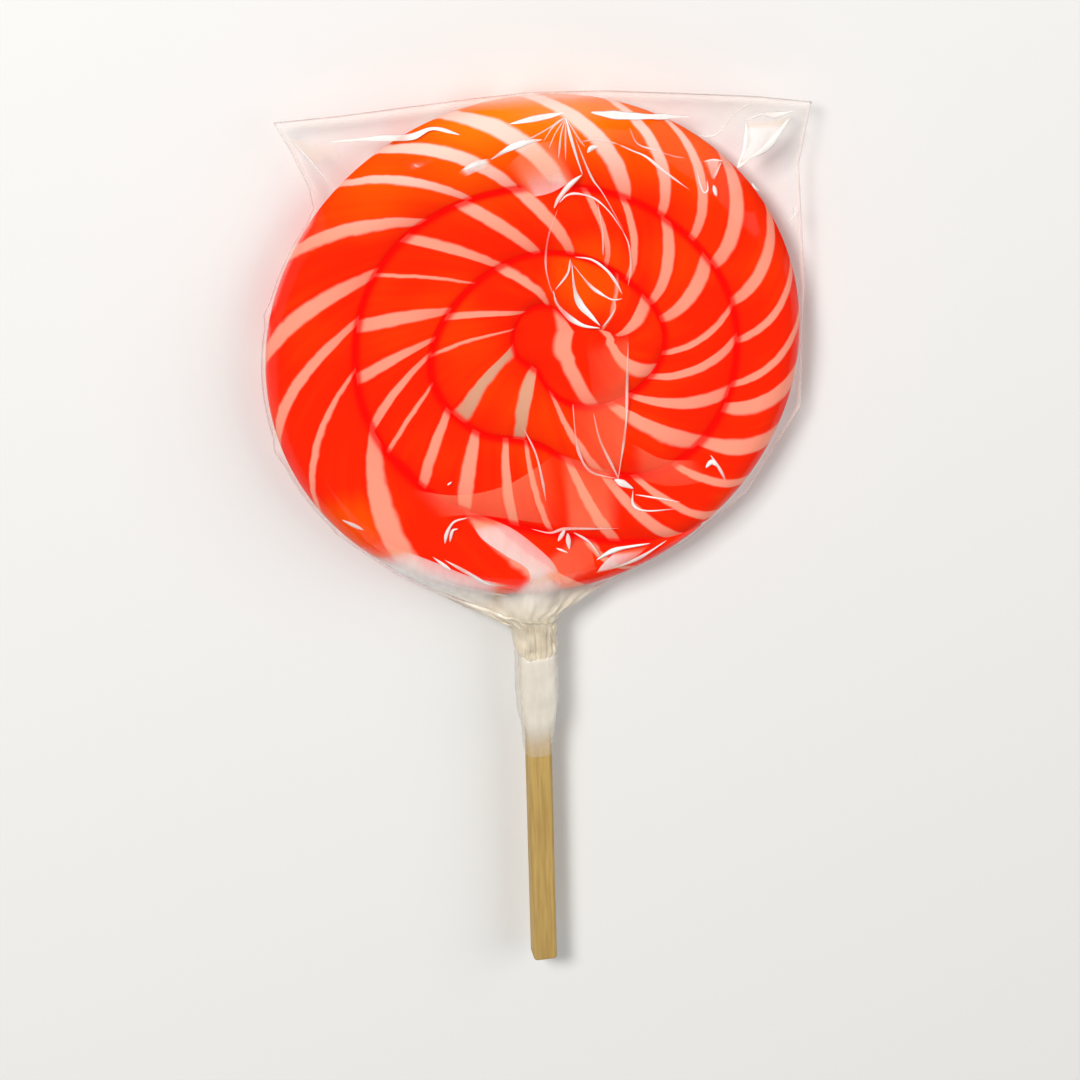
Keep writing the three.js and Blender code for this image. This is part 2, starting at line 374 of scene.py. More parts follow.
STRIPES = tuple(Stripe(*row) for row in (
    (5.15, 5.6, 0.05, 1.0, 0.6), (5.75, 6.75, 0.32, 3.2), (6.78, 8.38, 0.34, 1.5),
    (7.80, 9.13, 0.07), (8.50, 9.66, 0.15), (9.18, 10.16, 0.20), (10.00, 10.86, 0.15),
    (10.60, 11.34, 0.09), (10.95, 11.78, 0.15), (11.46, 12.22, 0.20), (12.05, 12.95, 0.18),
    (12.63, 13.36, 0.12), (13.00, 13.78, 0.11), (13.52, 14.14, 0.18, 1.2),
    (14.06, 14.60, 0.13, 1.3), (14.48, 15.00, 0.08, 1.3), (14.84, 15.48, 0.09, 1.3),
    (15.30, 15.70, 0.18, 1.3), (15.80, 16.12, 0.17, 1.3), (16.20, 16.47, 0.07, 1.3),
    (16.48, 16.88, 0.09), (16.92, 17.16, 0.15), (17.36, 17.55, 0.13), (17.93, 18.38, 0.08),
    (18.30, 18.80, 0.14), (18.92, 19.45, 0.22), (19.48, 20.20, 0.16), (20.08, 20.78, 0.06),
    (20.40, 21.38, 0.14), (21.01, 21.62, 0.14), (21.60, 22.20, 0.19), (22.15, 22.85, 0.04),
    (22.60, 23.35, 0.15), (23.25, 24.00, 0.19), (23.80, 24.55, 0.19), (24.50, 25.20, 0.08),
    (24.90, 25.62, 0.10), (25.42, 26.20, 0.17), (26.05, 26.50, 0.19), (26.63, 27.10, 0.08),
    (26.95, 27.50, 0.13), (27.53, 27.95, 0.17), (28.12, 28.22, 0.22), (29.20, 29.45, 0.14),
    (30.50, 31.05, 0.34, 1.0, 1.0, 4.2), (31.95, 34.30, 0.44, 1.6, 1.0, 0.5), (33.33, 34.95, 0.06),
    (34.05, 35.55, 0.16), (35.33, 36.25, 0.20), (37.45, 38.20, 0.05), (38.05, 38.50, 0.15),
))


@dataclass(frozen=True)
class EyeStripe:
    """A stripe on the rope's end, which is coiled round the eye.

    Attributes:
        share: How far it lies from the eye, as a share of the way to the groove outside it.
        end_share: The same at its far end.
        half: Half its width, in phase.
    """

    share: float
    end_share: float
    half: float


EYE_STRIPES = (EyeStripe(0.12, 0.12, 0.12), EyeStripe(0.655, 0.54, 0.115))


@dataclass
class CandyRope:
    """The coiled rope of boiled sugar, the same coil as the solid has, on a finer grid.

    A ring is a line across the rope, and rings are counted by the hour of the clock face. The
    groove between the laps winds clockwise towards the eye, through given radii.
    """

    place: DiscFrame
    rest_height: float = 5.5
    groove_depth: float = 2.1
    eye_depth: float = 1.4
    crest_power: float = 2.2
    crowding_at_rim: float = 1.6
    groove_fade: float = 6.0
    hours_per_lap: float = 12.0
    hours_per_radius: float = 1.5
    first_radius_hour: float = 4.5
    groove_radii: tuple[float, ...] = (
        43.0, 30.3, 27.9, 29.2, 31.4, 29.8, 30.3, 31.9, 29.6, 14.9, 15.3, 17.5,
        17.4, 18.5, 18.7, 19.9, 12.6, 2.9, 1.4, 2.3, 5.9, 9.7, 8.0, 14.8,
    )
    rings_per_hour: int = 15
    steps_across: int = 50
    tail_hour: float = 14 / 3
    tip_hour: float = 106 / 3
    turn_hours: float = 2.0
    fan_hours: float = 3.1
    bend_hours: Span = (42.2, 47.0)
    flare_power: float = 1.5
    back_slant: float = -0.7
    tail_shade_hours: Span = (6.9, 8.7)
    tail_shade_share: float = 0.30

    def __post_init__(self) -> None:
        """Works out the numbers of the rings at which something changes."""
        self.lap = round(self.hours_per_lap * self.rings_per_hour)
        self.tail = round(self.tail_hour * self.rings_per_hour)
        self.tip = round(self.tip_hour * self.rings_per_hour)
        self.eye = self.tip + self.steps_across
        self.eye_hour = self.eye / self.rings_per_hour

    def groove_radius(self, hour: Array) -> Array:
        """Radius of the groove at an hour: a Catmull-Rom curve through the given radii."""
        radii = np.array(self.groove_radii)
        place = (hour - self.first_radius_hour) / self.hours_per_radius
        first = np.clip(np.floor(place).astype(int), 0, len(radii) - 2)
        near = (radii[np.clip(first + k, 0, len(radii) - 1)] for k in (-1, 0, 1, 2))
        return catmull_rom(*near, place - first)

    def face(self, radius: Array) -> Array:
        """Height of the face without grooves: flat, then a quarter oval over the rim."""
        rounding = self.place.rim_rounding
        out = np.clip((radius - self.place.rim_radius + rounding) / rounding, 0, 1)
        return self.place.face_height * np.sqrt(1 - out * out)

    def edge(self, ring: Array) -> tuple[Array, Array, Array]:
        """The rope's edge at rings: the rim up to the tail, and the groove from there on.

        Args:
            ring: Ring numbers.

        Returns:
            The edge's points in the middle plane, their radii, and the groove's depth there.
        """
        rim = self.place.rim_radius
        ring = np.minimum(ring, self.eye)
        hour = ring / self.rings_per_hour
        radius = np.minimum(self.groove_radius(hour), rim)
        radius = np.where(ring <= self.tail, rim, radius)
        deep = lerp(self.groove_depth, self.eye_depth, smoothstep(ring, self.tip, self.eye))
        depth = deep * smoothstep(rim - radius, 0, self.groove_fade)
        angle = 2 * np.pi * (hour % self.hours_per_lap) / self.hours_per_lap
        points = np.stack([radius * np.sin(angle), radius * np.cos(angle)], axis=-1)
        return points, radius, depth

    def fan_out(self, ring: Array, flat: Array, share: Array, depth: Array) -> None:
        """Turns the rings past the eye into a fan round it, in the arrays that it is given.

        There the share across the strand becomes the share of the way between the two
        grooves, and the last ring lies along the inner one.

        Args:
            ring: Ring numbers.
            flat: Points in the middle plane, rings x steps x 2.
            share: Each point's share across the strand.
            depth: Depth of the inner groove for each point.
        """
        fan = ring > self.eye
        outer_edge, _, _ = self.edge(np.arange(self.eye - self.lap, self.tip + 1))
        inner_edge, _, inner_depth = self.edge(np.arange(self.tip, self.eye + 1))
        to_outer, to_inner = (
            np.linalg.norm(flat[fan][:, :, None, :] - edge, axis=-1)
            for edge in (outer_edge, inner_edge)
        )
        outer, inner = to_outer.min(axis=-1), to_inner.min(axis=-1)
        between = outer / np.maximum(outer + inner, 1e-6)
        turned = smoothstep(ring[fan] / self.rings_per_hour, *self.turn_span())[:, None]
        share[fan] = lerp(share[fan], between, turned)
        depth[fan] = lerp(depth[fan], inner_depth[to_inner.argmin(axis=-1)], turned)
        share[:, 0] = 0.0
        flat[-1], share[-1], depth[-1] = inner_edge, 1.0, inner_depth

    def turn_span(self) -> Span:
        """Hours between which the rings turn into a fan round the eye."""
        return self.eye_hour, self.eye_hour + self.turn_hours

    def upper_grid(self) -> tuple[Array, Array, Array, Array]:
        """The upper surface, ring by ring from the rope's outer edge to its inner edge.

        A point's height is the face's, less each groove's depth times a power of how far the
        point is past the middle of the strand.

        Returns:
            Points (rings x steps x 3), ring numbers, shares across, and how deep each point
            lies in a groove, as a share of the groove's depth. The lee of the rope's tail
            counts as deep, so that the material paints shadow there too.
        """
        ring = np.arange(self.tail, self.tip + self.lap + 1)
        step = np.linspace(0, 1, self.steps_across + 1)
        outer, outer_radius, outer_depth = self.edge(ring - self.lap)
        inner, _, inner_depth = self.edge(ring)
        level = smoothstep(self.place.rim_radius - outer_radius, 0, self.groove_fade)
        crowding = lerp(self.crowding_at_rim, 1.0, level)
        share = step[None, :] ** crowding[:, None]
        flat = outer[:, None, :] + (inner - outer)[:, None, :] * share[..., None]
        depth = np.repeat(inner_depth[:, None], len(step), axis=1)
        self.fan_out(ring, flat, share, depth)
        cut = outer_depth[:, None] * np.maximum(0, 1 - 2 * share) ** self.crest_power
        cut = cut + depth * np.maximum(0, 2 * share - 1) ** self.crest_power
        height = self.face(np.linalg.norm(flat, axis=-1)) - cut
        rings, steps = np.meshgrid(ring, step, indexing="ij")
        hour = rings / self.rings_per_hour - self.hours_per_lap
        # Painted shadow in the lee of the rope's tail, added to the groove value that the material
        # darkens.
        first, last = self.tail_shade_hours
        middle = 0.5 * (first + last)
        under = plateau(hour, (first, middle), (middle, last))
        shade = under * (1 - smoothstep(share, 0.0, self.tail_shade_share))
        points = np.concatenate([flat, height[..., None]], axis=-1)
        return points, rings, steps, np.maximum(cut / self.groove_depth, shade)

    def phase(self, hour: Array, share: Array, slant: float) -> Array:
        """The stripes' phase, which rises by one from each stripe's middle to the next one's.

        At a share q across, a stripe lies at its outer hour plus its slant times q to the
        power of its bend. Past the eye the phase follows the distance from the eye, (1 - q)
        times a step that rises over the first hours of the fan, in straight pieces from one
        stripe's share of that distance to the next one's.

        Args:
            hour: Hour of each point.
            share: Share across of each point.
            slant: 1 on the front. The rope is twisted, so its stripes lean the other way on
                the back, where this is below 0.

        Returns:
            The phase at each point.
        """
        outer, inner, _, bend, _, _ = np.array([astuple(s) for s in STRIPES]).T
        count = len(STRIPES)
        number = np.concatenate([[-1.0], np.arange(count), [count - 0.5]])
        phase = np.empty_like(hour)
        for column, q in enumerate(share[0]):
            at = outer + slant * (inner - outer) * q**bend
            at = np.concatenate([[outer[0] - 1.0], at, [self.eye_hour]])
            phase[:, column] = np.interp(hour[:, column], at, number)
        away = (1 - share) * smoothstep(hour, self.eye_hour, self.eye_hour + self.fan_hours)
        settled = smoothstep(hour, *self.bend_hours)
        near, far = (lerp(s.share, s.end_share, settled) for s in EYE_STRIPES)
        fan = count - 0.5 + 0.5 * away / near
        fan = np.where(away > near, count + (away - near) / (far - near), fan)
        fan = np.where(away > far, count + 1 + 0.5 * (away - far) / (1 - far), fan)
        return np.where(hour > self.eye_hour, fan, phase)

    def stripe_maps(self, rings: Array, steps: Array, slant: float) -> tuple[Array, Array]:
        """Numbers that the stripes are drawn from.

        A stripe's half width is multiplied by its flare to the power q^1.5, q being the share
        across.

        Args:
            rings: Ring number of each point.
            steps: Share across of each point.
            slant: How the stripes lean, as for phase.

        Returns:
            Phase and share across, and half width in phase with how tan the stripe is.
        """
        phase = self.phase(rings / self.rings_per_hour, steps, slant)
        outer, inner, width, _, tan, flare = np.array([astuple(s) for s in STRIPES]).T
        number = np.arange(len(STRIPES))
        spacing = np.gradient(0.5 * (outer + inner))
        halves = np.concatenate([0.5 * width / spacing, [s.half for s in EYE_STRIPES]])
        half = np.interp(phase, np.arange(len(halves)), halves)
        half = half * np.interp(phase, number, flare) ** (steps**self.flare_power)
        tanned = np.interp(phase, number, tan)
        return np.stack([phase, steps], axis=-1), np.stack([half, tanned], axis=-1)

    def surface(self) -> Surface:
        """The closed surface: the upper grid and its mirror image, flattened where it rests."""
        points, rings, steps, groove = self.upper_grid()
        below = points * np.array([1, 1, -1])
        below[..., 2] = np.maximum(below[..., 2], -self.rest_height)
        sheets = []
        for grid, flip, slant in ((points, False, 1.0), (below, True, self.back_slant)):
            sheet = Surface.grid(grid, flip)
            rope, band = self.stripe_maps(rings, steps, slant)
            sheet.maps = {"Rope": rope.reshape(-1, 2), "Band": band.reshape(-1, 2)}
            sheet.values = {"groove": groove.ravel()}
            sheets.append(sheet)
        return sheets[0].joined(sheets[1])

    def build(self) -> bpy.types.Object:
        """Makes the candy and puts it in the place of the solid."""
        candy = self.surface().to_object("candy_rope", self.place, weld=WELD)
        dress(candy, BoiledSugar().material())
        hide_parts("candy")
        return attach(candy, BODY)


@dataclass(frozen=True)
class BoiledSugar:
    """Glossy boiled sugar: red-orange with pale slanting stripes, and painted shade that makes it
    a deeper red in the grooves and in the lee of the rope's tail.

    It is more orange at two warm spots. Towards the head of the disc a painted glow of light
    makes it more orange, and amber at the crown, and a painted highlight makes the pale stripes
    whiter there. Spans along the disc are in metres from the row frame's origin.
    """

    red: Rgb = (0.95, 0.0155, 0.0)
    # orange: the warm spots' and mottle's colour, and that of the painted glow towards the head;
    # amber: the painted glow at the crown.
    orange: Rgb = (0.96, 0.105, 0.0)
    amber: Rgb = (0.96, 0.205, 0.004)
    # deep: colour of the painted shade in the grooves and in the tail's lee.
    deep: Rgb = (0.92, 0.002, 0.0)
    pale: Rgb = (0.95, 0.30, 0.20)
    # Pale stripes turn whiter towards the head: a painted highlight.
    painted_highlight_pale: Rgb = (0.96, 0.60, 0.51)
    tan: Rgb = (0.66, 0.33, 0.205)
    roughness: float = 0.5
    specular: float = 0.0
    # Where the painted groove shade starts and is full, and how much of it the stripes take.
    groove_shade_span: Span = (0.64, 0.90)
    stripe_groove_shade_share: float = 0.85
    wander: float = 0.07
    wander_lost: float = 0.055
    wander_scale: float = 420.0
    widening: float = 1.06
    end_taper: float = 0.34
    inside: Span = (0.76, -0.008)
    outside: Span = (1.12, 0.017)
    # Spans and wander of the painted glow of light towards the head of the disc.
    orange_glow_span: Span = (0.064, 0.086)
    orange_wander: float = 0.016
    amber_glow_span: Span = (0.0705, 0.0785)
    painted_highlight_span: Span = (0.058, 0.078)
    mottle_scale: float = 60.0
    mottle_span: Span = (0.45, 0.75)
    mottle_share: float = 0.22
    warm_spots: tuple[Place, ...] = ((0.0075, 0.0495, 0.0112), (-0.0315, 0.009, 0.010))
    warm_radius: float = 0.0095
    warm_share: float = 0.62
    strand_scale: float = 9.0
    strand_share: float = 0.45
    relief_scale: float = 350.0

    def stripe(self, n: Nodes, place: Signal, phase: Signal, band: Signal, ends: Signal) -> Signal:
        """How much of a stripe there is: 1 inside it and 0 outside, with a soft edge.

        Its middle wanders a little, less so round the eye. A pale stripe tapers with the cube
        of ends, which is 0 in the middle of the strand and 1 at its edges. The band is the
        half width in phase, and how tan the stripe is. The soft edge runs from one share of
        the half width, and a little more or less, to another.
        """
        half_width, tan, _ = n.split(band)
        round_eye = n.ramp(phase, len(STRIPES) - 1.0, len(STRIPES) - 0.5)
        swing = self.wander - round_eye * self.wander_lost
        shifted = phase + (n.noise(place, self.wander_scale, 3) - 0.5) * swing
        away = abs(shifted - n.math("ROUND", shifted))
        taper = self.widening - n.math("POWER", ends, 3.0) * ((1.0 - tan) * self.end_taper)
        half = half_width * taper
        inside, outside = (half * share + more for share, more in (self.inside, self.outside))
        return 1.0 - n.ramp(away, inside, outside)

    def warmth(self, n: Nodes, place: Signal, phase: Signal, across: Signal) -> Signal:
        """How orange the sugar is, from 0 to about 1.

        The largest of the painted glow of light towards the head, a mottle and the warm spots,
        plus or minus streaks that are drawn out along the rope.
        """
        mottle = n.noise(place, self.mottle_scale, 1)
        glow = n.ramp(n.split(place)[1] + mottle * self.orange_wander, *self.orange_glow_span)
        warm = n.ramp(mottle, *self.mottle_span) * self.mottle_share
        for spot in self.warm_spots:
            away = n.get("VectorMath", "Value", operation="DISTANCE", _0=place, _1=spot)
            near = n.ramp(away, self.warm_radius, 0.3 * self.warm_radius)
            warm = n.math("MAXIMUM", warm, near * self.warm_share)
        pulled = n.get("CombineXYZ", _0=phase * self.strand_scale, _1=across)
        strand = n.noise(pulled, 1.0, 3) - 0.5
        return n.math("MAXIMUM", glow, warm) + strand * self.strand_share

    def material(self) -> bpy.types.Material:
        """Builds the material from the rope's maps."""
        material, n = new_material("boiled_sugar")
        place = n.get("TexCoord", "Object")
        along = n.split(place)[1]
        phase, across, _ = n.split(n.get("UVMap", uv_map="Rope"))
        band = n.get("UVMap", uv_map="Band")
        stripe = self.stripe(n, place, phase, band, abs(across * 2.0 - 1.0))
        # Painted shade: deep red in the grooves and in the lee of the rope's tail.
        groove_shade = n.ramp(n.get("Attribute", "Fac", attribute_name="groove"), *self.groove_shade_span)
        # Painted glow: more orange, and amber at the crown, towards the head.
        crown = n.mix(n.ramp(along, *self.amber_glow_span), self.orange, self.amber)
        body = n.mix(self.warmth(n, place, phase, across), self.red, crown)
        body = n.mix(groove_shade, body, self.deep)
        # Painted highlight: the pale stripes whiten towards the head.
        pale = n.mix(n.ramp(along, *self.painted_highlight_span), self.pale, self.painted_highlight_pale)
        pale = n.mix(n.split(band)[1], pale, self.tan)
        # The stripes take the painted groove shade too.
        pale = n.mix(groove_shade * self.stripe_groove_shade_share, pale, self.deep)
        relief = stripe * 0.6 + n.noise(place, self.relief_scale, 2) * 0.5
        shader = n.get(
            "BsdfPrincipled",
            Base_Color=n.mix(stripe, body, pale),
            Roughness=self.roughness,
            Specular_IOR_Level=self.specular,
            Normal=n.get("Bump", Strength=0.35, Distance=0.00012, Height=relief),
        )
        n.add("OutputMaterial", Surface=shader)
        return material


# ---- the film


class Side(Enum):
    """The pouch's two sheets: the one that is looked at and the one that lies on the floor."""

    FRONT = 1
    BACK = -1


@dataclass
class FilmShape:
    """The pouch's outline and the height of its two sheets at any place.

    The edges are given as corner points, and where an edge would cut the rim the film hugs it.
    Spans are in millimetres; those along the pouch are counted from the disc's centre towards
    the stick.
    """

    place: DiscFrame
    top_edge: Line = (
        (-39.6, 42.9), (-29.0, 43.0), (-19.0, 43.4), (-8.0, 43.8), (0.0, 43.9),
        (12.0, 43.0), (25.0, 41.2), (36.0, 39.6), (44.9, 37.8),
    )
    left_edge: Line = (
        (-39.6, 42.9), (-37.2, 38.0), (-34.6, 31.5), (-34.2, 28.0), (-42.8, 11.0),
        (-42.4, -13.0), (-33.2, -28.8), (-24.0, -37.2), (-13.0, -44.4), (-6.2, -48.2),
        (-4.9, -50.5), (-4.6, -53.4), (-4.1, -55.0), (-4.0, -62.0), (-3.5, -70.6),
    )
    right_edge: Line = (
        (44.9, 37.8), (42.9, 27.5), (44.0, 7.0), (43.4, -15.0), (34.5, -29.5),
        (24.0, -37.5), (11.0, -43.0), (6.0, -45.4), (3.0, -46.6), (2.3, -48.4),
        (2.4, -50.5), (2.2, -53.4), (1.7, -55.0), (1.6, -62.0), (1.1, -70.6),
    )
    neck_height: Line = (
        (-70.6, 2.2), (-62.0, 2.75), (-55.0, 2.8), (-53.4, 3.2), (-50.0, 3.5), (-46.5, 3.8),
        (-43.0, 4.1), (-38.0, 4.6),
    )
    hug_radius: float = 43.7
    hug_end: float = -40.0
    clearance: float = 0.12
    floor_gap: float = 0.03
    neck_span: Span = (40.0, 47.5)
    squareness: float = 2.6
    pleats: float = 8.0
    pleat_height: float = 0.30
    pleat_drift: float = 0.9
    drift_stretch: float = 0.4
    pleat_span: Span = (36.0, 47.0)
    tape_press: float = 0.85
    tape_span: Span = (53.0, 58.0)
    slack_height: float = 0.22
    fine_height: float = 0.10
    slack_on_disc: float = 0.12
    slack_span: Span = (40.0, 45.0)
    crumple_height: float = 0.40
    crumple_start: Span = (43.0, 47.0)
    crumple_end: Span = (53.5, 55.5)
    ragged: float = 0.35
    level_sides: float = 8.0
    level_top: float = 3.4
    sink_span: Span = (30.0, 42.0)
    evenness: float = 0.55
    rows: int = 230
    columns: int = 170

    def __post_init__(self) -> None:
        """Lays out the grid in plan, and how far the pouch's edge is in every direction."""
        self.plan = self.plan_grid()
        x, y = self.plan
        ends = np.s_[0, :], np.s_[1:, -1], np.s_[:0:-1, 0]
        rim = np.concatenate([np.stack([x[end], y[end]], -1) for end in ends])
        angle = np.arctan2(rim[:, 0], -rim[:, 1])
        order = np.argsort(angle)
        self.rim_angle, self.rim_reach = angle[order], np.hypot(*rim[order].T)

    def outline(self, side: int, y: Array) -> Array:
        """x of the pouch's left (-1) or right (1) edge at y, outside the rim that it hugs."""
        edge = np.array(self.left_edge if side < 0 else self.right_edge)
        given = np.interp(-y, -edge[:, 1], edge[:, 0])
        given = given + self.ragged * self.crumpled(y) * Hills.RAGGED.at(y, 0 * y, side)
        hug = np.sqrt(np.maximum(self.hug_radius**2 - y**2, 0))
        return side * np.maximum(side * given, np.where(y > self.hug_end, hug, 0))

    def crumpled(self, y: Array) -> Array:
        """How crumpled the film is along its length: only between the disc and the tape."""
        return plateau(-y, self.crumple_start, self.crumple_end)

    def plan_grid(self) -> tuple[Array, Array]:
        """Grid in plan: rows run from the top edge to the neck, columns from left to right.

        A row's ends start at the top corners and sink together to the neck's end. The columns
        lie closer together near the two sides, by a cosine.
        """
        down = np.linspace(0, 1, self.rows + 1)[:, None]
        even = np.linspace(0, 1, self.columns + 1)
        right = lerp(0.5 - 0.5 * np.cos(np.pi * even), even, self.evenness)[None, :]
        top = np.array(self.top_edge)
        start = np.interp(lerp(top[0, 0], top[-1, 0], right), top[:, 0], top[:, 1])
        y = lerp(start, self.left_edge[-1][1], down)
        return lerp(self.outline(-1, y[:, :1]), self.outline(1, y[:, -1:]), right), y

    def across(self, x: Array, y: Array) -> Array:
        """Share of the way from the pouch's left edge to its right edge."""
        left, right = self.outline(-1, y), self.outline(1, y)
        return np.clip((x - left) / (right - left), 0, 1)

    def below_top(self, x: Array, y: Array) -> Array:
        """How far a place lies below the pouch's top edge."""
        top = np.array(self.top_edge)
        return np.maximum(np.interp(x, top[:, 0], top[:, 1]) - y, 0)

    def lift(self, x: Array, y: Array, tall: float) -> Array:
        """Height of the smooth film over the middle plane.

        Over the face it lies level; over the rounded rim it follows a quarter oval as far as
        the line that touches the oval and ends at the pouch's edge, and then that line. Towards
        the neck it turns into a squarish oval across the pouch.

        Args:
            x: Across, in millimetres.
            y: Along.
            tall: Height of the film over the face.

        Returns:
            The height at each place.
        """
        core = self.place.rim_radius - self.place.rim_rounding
        wide = self.place.rim_rounding + self.clearance
        reach = np.interp(np.arctan2(x, -y), self.rim_angle, self.rim_reach, period=2 * np.pi)
        reach = np.maximum(reach, self.place.rim_radius + 2 * self.clearance)
        out = np.maximum(np.hypot(x, y) - core, 0)
        share = wide / (reach - core)
        touch = wide * share
        oval = tall * np.sqrt(np.maximum(1 - (out / wide) ** 2, 0))
        slope = tall * np.sqrt(1 - share**2) * (reach - core - out) / (reach - core - touch)
        disc = np.where(out > touch, np.maximum(slope, 0), oval)
        heights = np.array(self.neck_height)
        off = np.abs(2 * self.across(x, y) - 1)
        neck = np.interp(y, heights[:, 0], heights[:, 1])
        neck = neck * (1 - off**self.squareness) ** (1 / self.squareness)
        return lerp(disc, neck, smoothstep(-y, *self.neck_span))

    def wrinkle(self, x: Array, y: Array, side: Side) -> Array:
        """Small height changes, level at the pouch's edges.

        Pleats run into the neck: a wave of the share across, whose phase drifts, pressed flat
        under the tape. Away from the disc the film is slack, and above the tape crumpled.

        Args:
            x: Across, in millimetres.
            y: Along.
            side: Which sheet.

        Returns:
            The change at each place, up or down.
        """
        across = self.across(x, y)
        slack = self.slack_height * Hills.SLACK.at(x, y, side.value)
        slack = slack + self.fine_height * Hills.FINE.at(x, y, side.value)
        off_disc = lerp(self.slack_on_disc, 1.0, smoothstep(np.hypot(x, y), *self.slack_span))
        drift = self.pleat_drift * Hills.DRIFT.at(x * self.drift_stretch, y, side.value)
        wave = smoothstep(np.abs(((self.pleats * across + drift) % 1) * 2 - 1), 0, 1)
        pressed = 1 - self.tape_press * smoothstep(-y, *self.tape_span)
        height = self.pleat_height * smoothstep(-y, *self.pleat_span) * pressed * (wave - 0.5)
        lumps = self.crumple_height * self.crumpled(y) * Hills.LUMPS.at(x, y, side.value)
        height = height + slack * off_disc + lumps
        edge = np.minimum(1, self.level_sides * np.minimum(across, 1 - across))
        return height * edge * smoothstep(self.below_top(x, y), 0, self.level_top)

    def height(self, x: Array, y: Array, side: Side = Side.FRONT) -> Array:
        """Height of a sheet, counted away from the middle plane; it never cuts the disc."""
        wrinkle = self.wrinkle(x, y, side)
        free = smoothstep(np.hypot(x, y), *self.sink_span)
        if side is Side.FRONT:
            smooth = self.lift(x, y, self.place.face_height + self.clearance)
            return np.maximum(smooth + np.where(wrinkle < 0, wrinkle * free, wrinkle), 0)
        low = self.place.z / MM - self.floor_gap
        return np.clip(self.lift(x, y, low) + wrinkle * free, 0, low)


@dataclass
class FilmPouch:
    """The clear pouch: two sheets that meet at the edge and are gathered round the stick."""

    shape: FilmShape
    gather_mean: float = 0.6
    gather_swing: float = 0.25
    streak_stretch: float = 0.2
    neck_x: float = -2.5
    neck_lean: float = 0.25
    neck_span: Span = (37.5, 43.0)
    wedge_x: float = -1.2
    wedge_lean: float = 1.15
    wedge_span: Span = (34.5, 37.5)
    wedge_haze: float = 0.62
    tape_clear: float = 0.9
    tape_span: Span = (65.5, 70.5)
    weld_haze: float = 0.35
    weld_span: Span = (0.002, 0.01)
    top_span: Span = (0.3, 1.5)
    seam_haze: float = 0.10
    seam_span: Span = (2.2, 3.4)
    seam_start: Span = (-6.0, 6.0)

    def haze(self, x: Array, y: Array) -> Array:
        """How white the film looks.

        Film that is gathered into the neck is milky, in streaks and patches, and so is a
        wedge above the neck. The welded edges and the seam below the top edge are hazy.
        """
        across = self.shape.across(x, y)
        patchy = 0.5 + 0.5 * Hills.PATCHY.at(x, y)
        streaky = 0.5 + 0.5 * Hills.STREAKY.at(x, y * self.streak_stretch)
        neck = smoothstep(-y - self.neck_lean * np.abs(x - self.neck_x), *self.neck_span)
        wedge = smoothstep(-y - self.wedge_lean * np.abs(x - self.wedge_x), *self.wedge_span)
        gather = np.maximum(neck, self.wedge_haze * wedge)
        swing = self.gather_swing
        gather = gather * (self.gather_mean + swing * patchy + swing * streaky)
        gather = gather * (1 - self.tape_clear * smoothstep(-y, *self.tape_span))
        weld = 1 - smoothstep(np.minimum(across, 1 - across), *self.weld_span)
        below = self.shape.below_top(x, y)
        top = 1 - smoothstep(below, *self.top_span)
        seam = (1 - smoothstep(below, *self.seam_span)) * smoothstep(x, *self.seam_start)
        white = gather + self.weld_haze * np.maximum(weld, top)
        return np.clip(np.maximum(white, self.seam_haze * seam * (0.5 + 0.5 * patchy)), 0, 1)

    def build(self) -> bpy.types.Object:
        """Makes the pouch and puts it in the place of the solid."""
        x, y = self.shape.plan
        sheets = []
        for side in Side:
            height = side.value * self.shape.height(x, y, side)
            sheet = Surface.grid(np.stack([x, y, height], axis=-1), flip=side is Side.BACK)
            sheet.values = {"haze": self.haze(x, y).ravel()}
            sheets.append(sheet)
        film = sheets[0].joined(sheets[1]).to_object("film_pouch", self.shape.place, weld=WELD)
        dress(film, ClearFilm("clear_film").material())
        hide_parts("wrapper")
        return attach(film, BODY)


@dataclass(frozen=True)
class Crease:
    """One sharp crease of the film, on its front.

    Attributes:
        width: Width at the middle of its length, in millimetres.
        height: Height there over the film.
        haze: How white it is: partly the whitening of creased film, partly a painted glint.
        line: Places that it runs through.
    """

    width: float
    height: float
    haze: float
    line: Line


# Creases by region: width, height, haze and line. Many lie where the film glints, such as the
# star, the loops and the right corner, so their white is partly painted glint.
STAR_UNDER_TOP_EDGE = (
    (0.4, 0.3, 0.5, ((4.9, 41.0), (2.8, 40.0), (1.0, 38.0))),
    (0.35, 0.3, 0.45, ((4.9, 41.0), (3.8, 38.5), (3.3, 35.0))),
    (0.55, 0.4, 0.9, ((4.9, 41.0), (5.3, 38.5), (6.0, 35.5), (7.0, 32.0))),
    (0.3, 0.25, 0.45, ((4.9, 41.0), (6.5, 38.0), (7.5, 36.5))),
    (0.4, 0.3, 0.5, ((4.9, 41.0), (0.0, 39.0), (-4.0, 37.5), (-7.0, 36.0))),
    (0.3, 0.25, 0.45, ((4.9, 41.0), (3.0, 39.0), (1.8, 36.8))),
    (0.3, 0.25, 0.45, ((4.9, 41.0), (4.5, 38.0), (4.4, 34.5))),
    (0.35, 0.25, 0.5, ((6.0, 38.2), (7.2, 34.6), (8.6, 31.0), (10.3, 28.2), (13.4, 21.8))),
    (0.3, 0.25, 0.5, ((6.9, 37.4), (9.0, 37.4), (11.2, 36.9), (13.0, 36.2))),
)
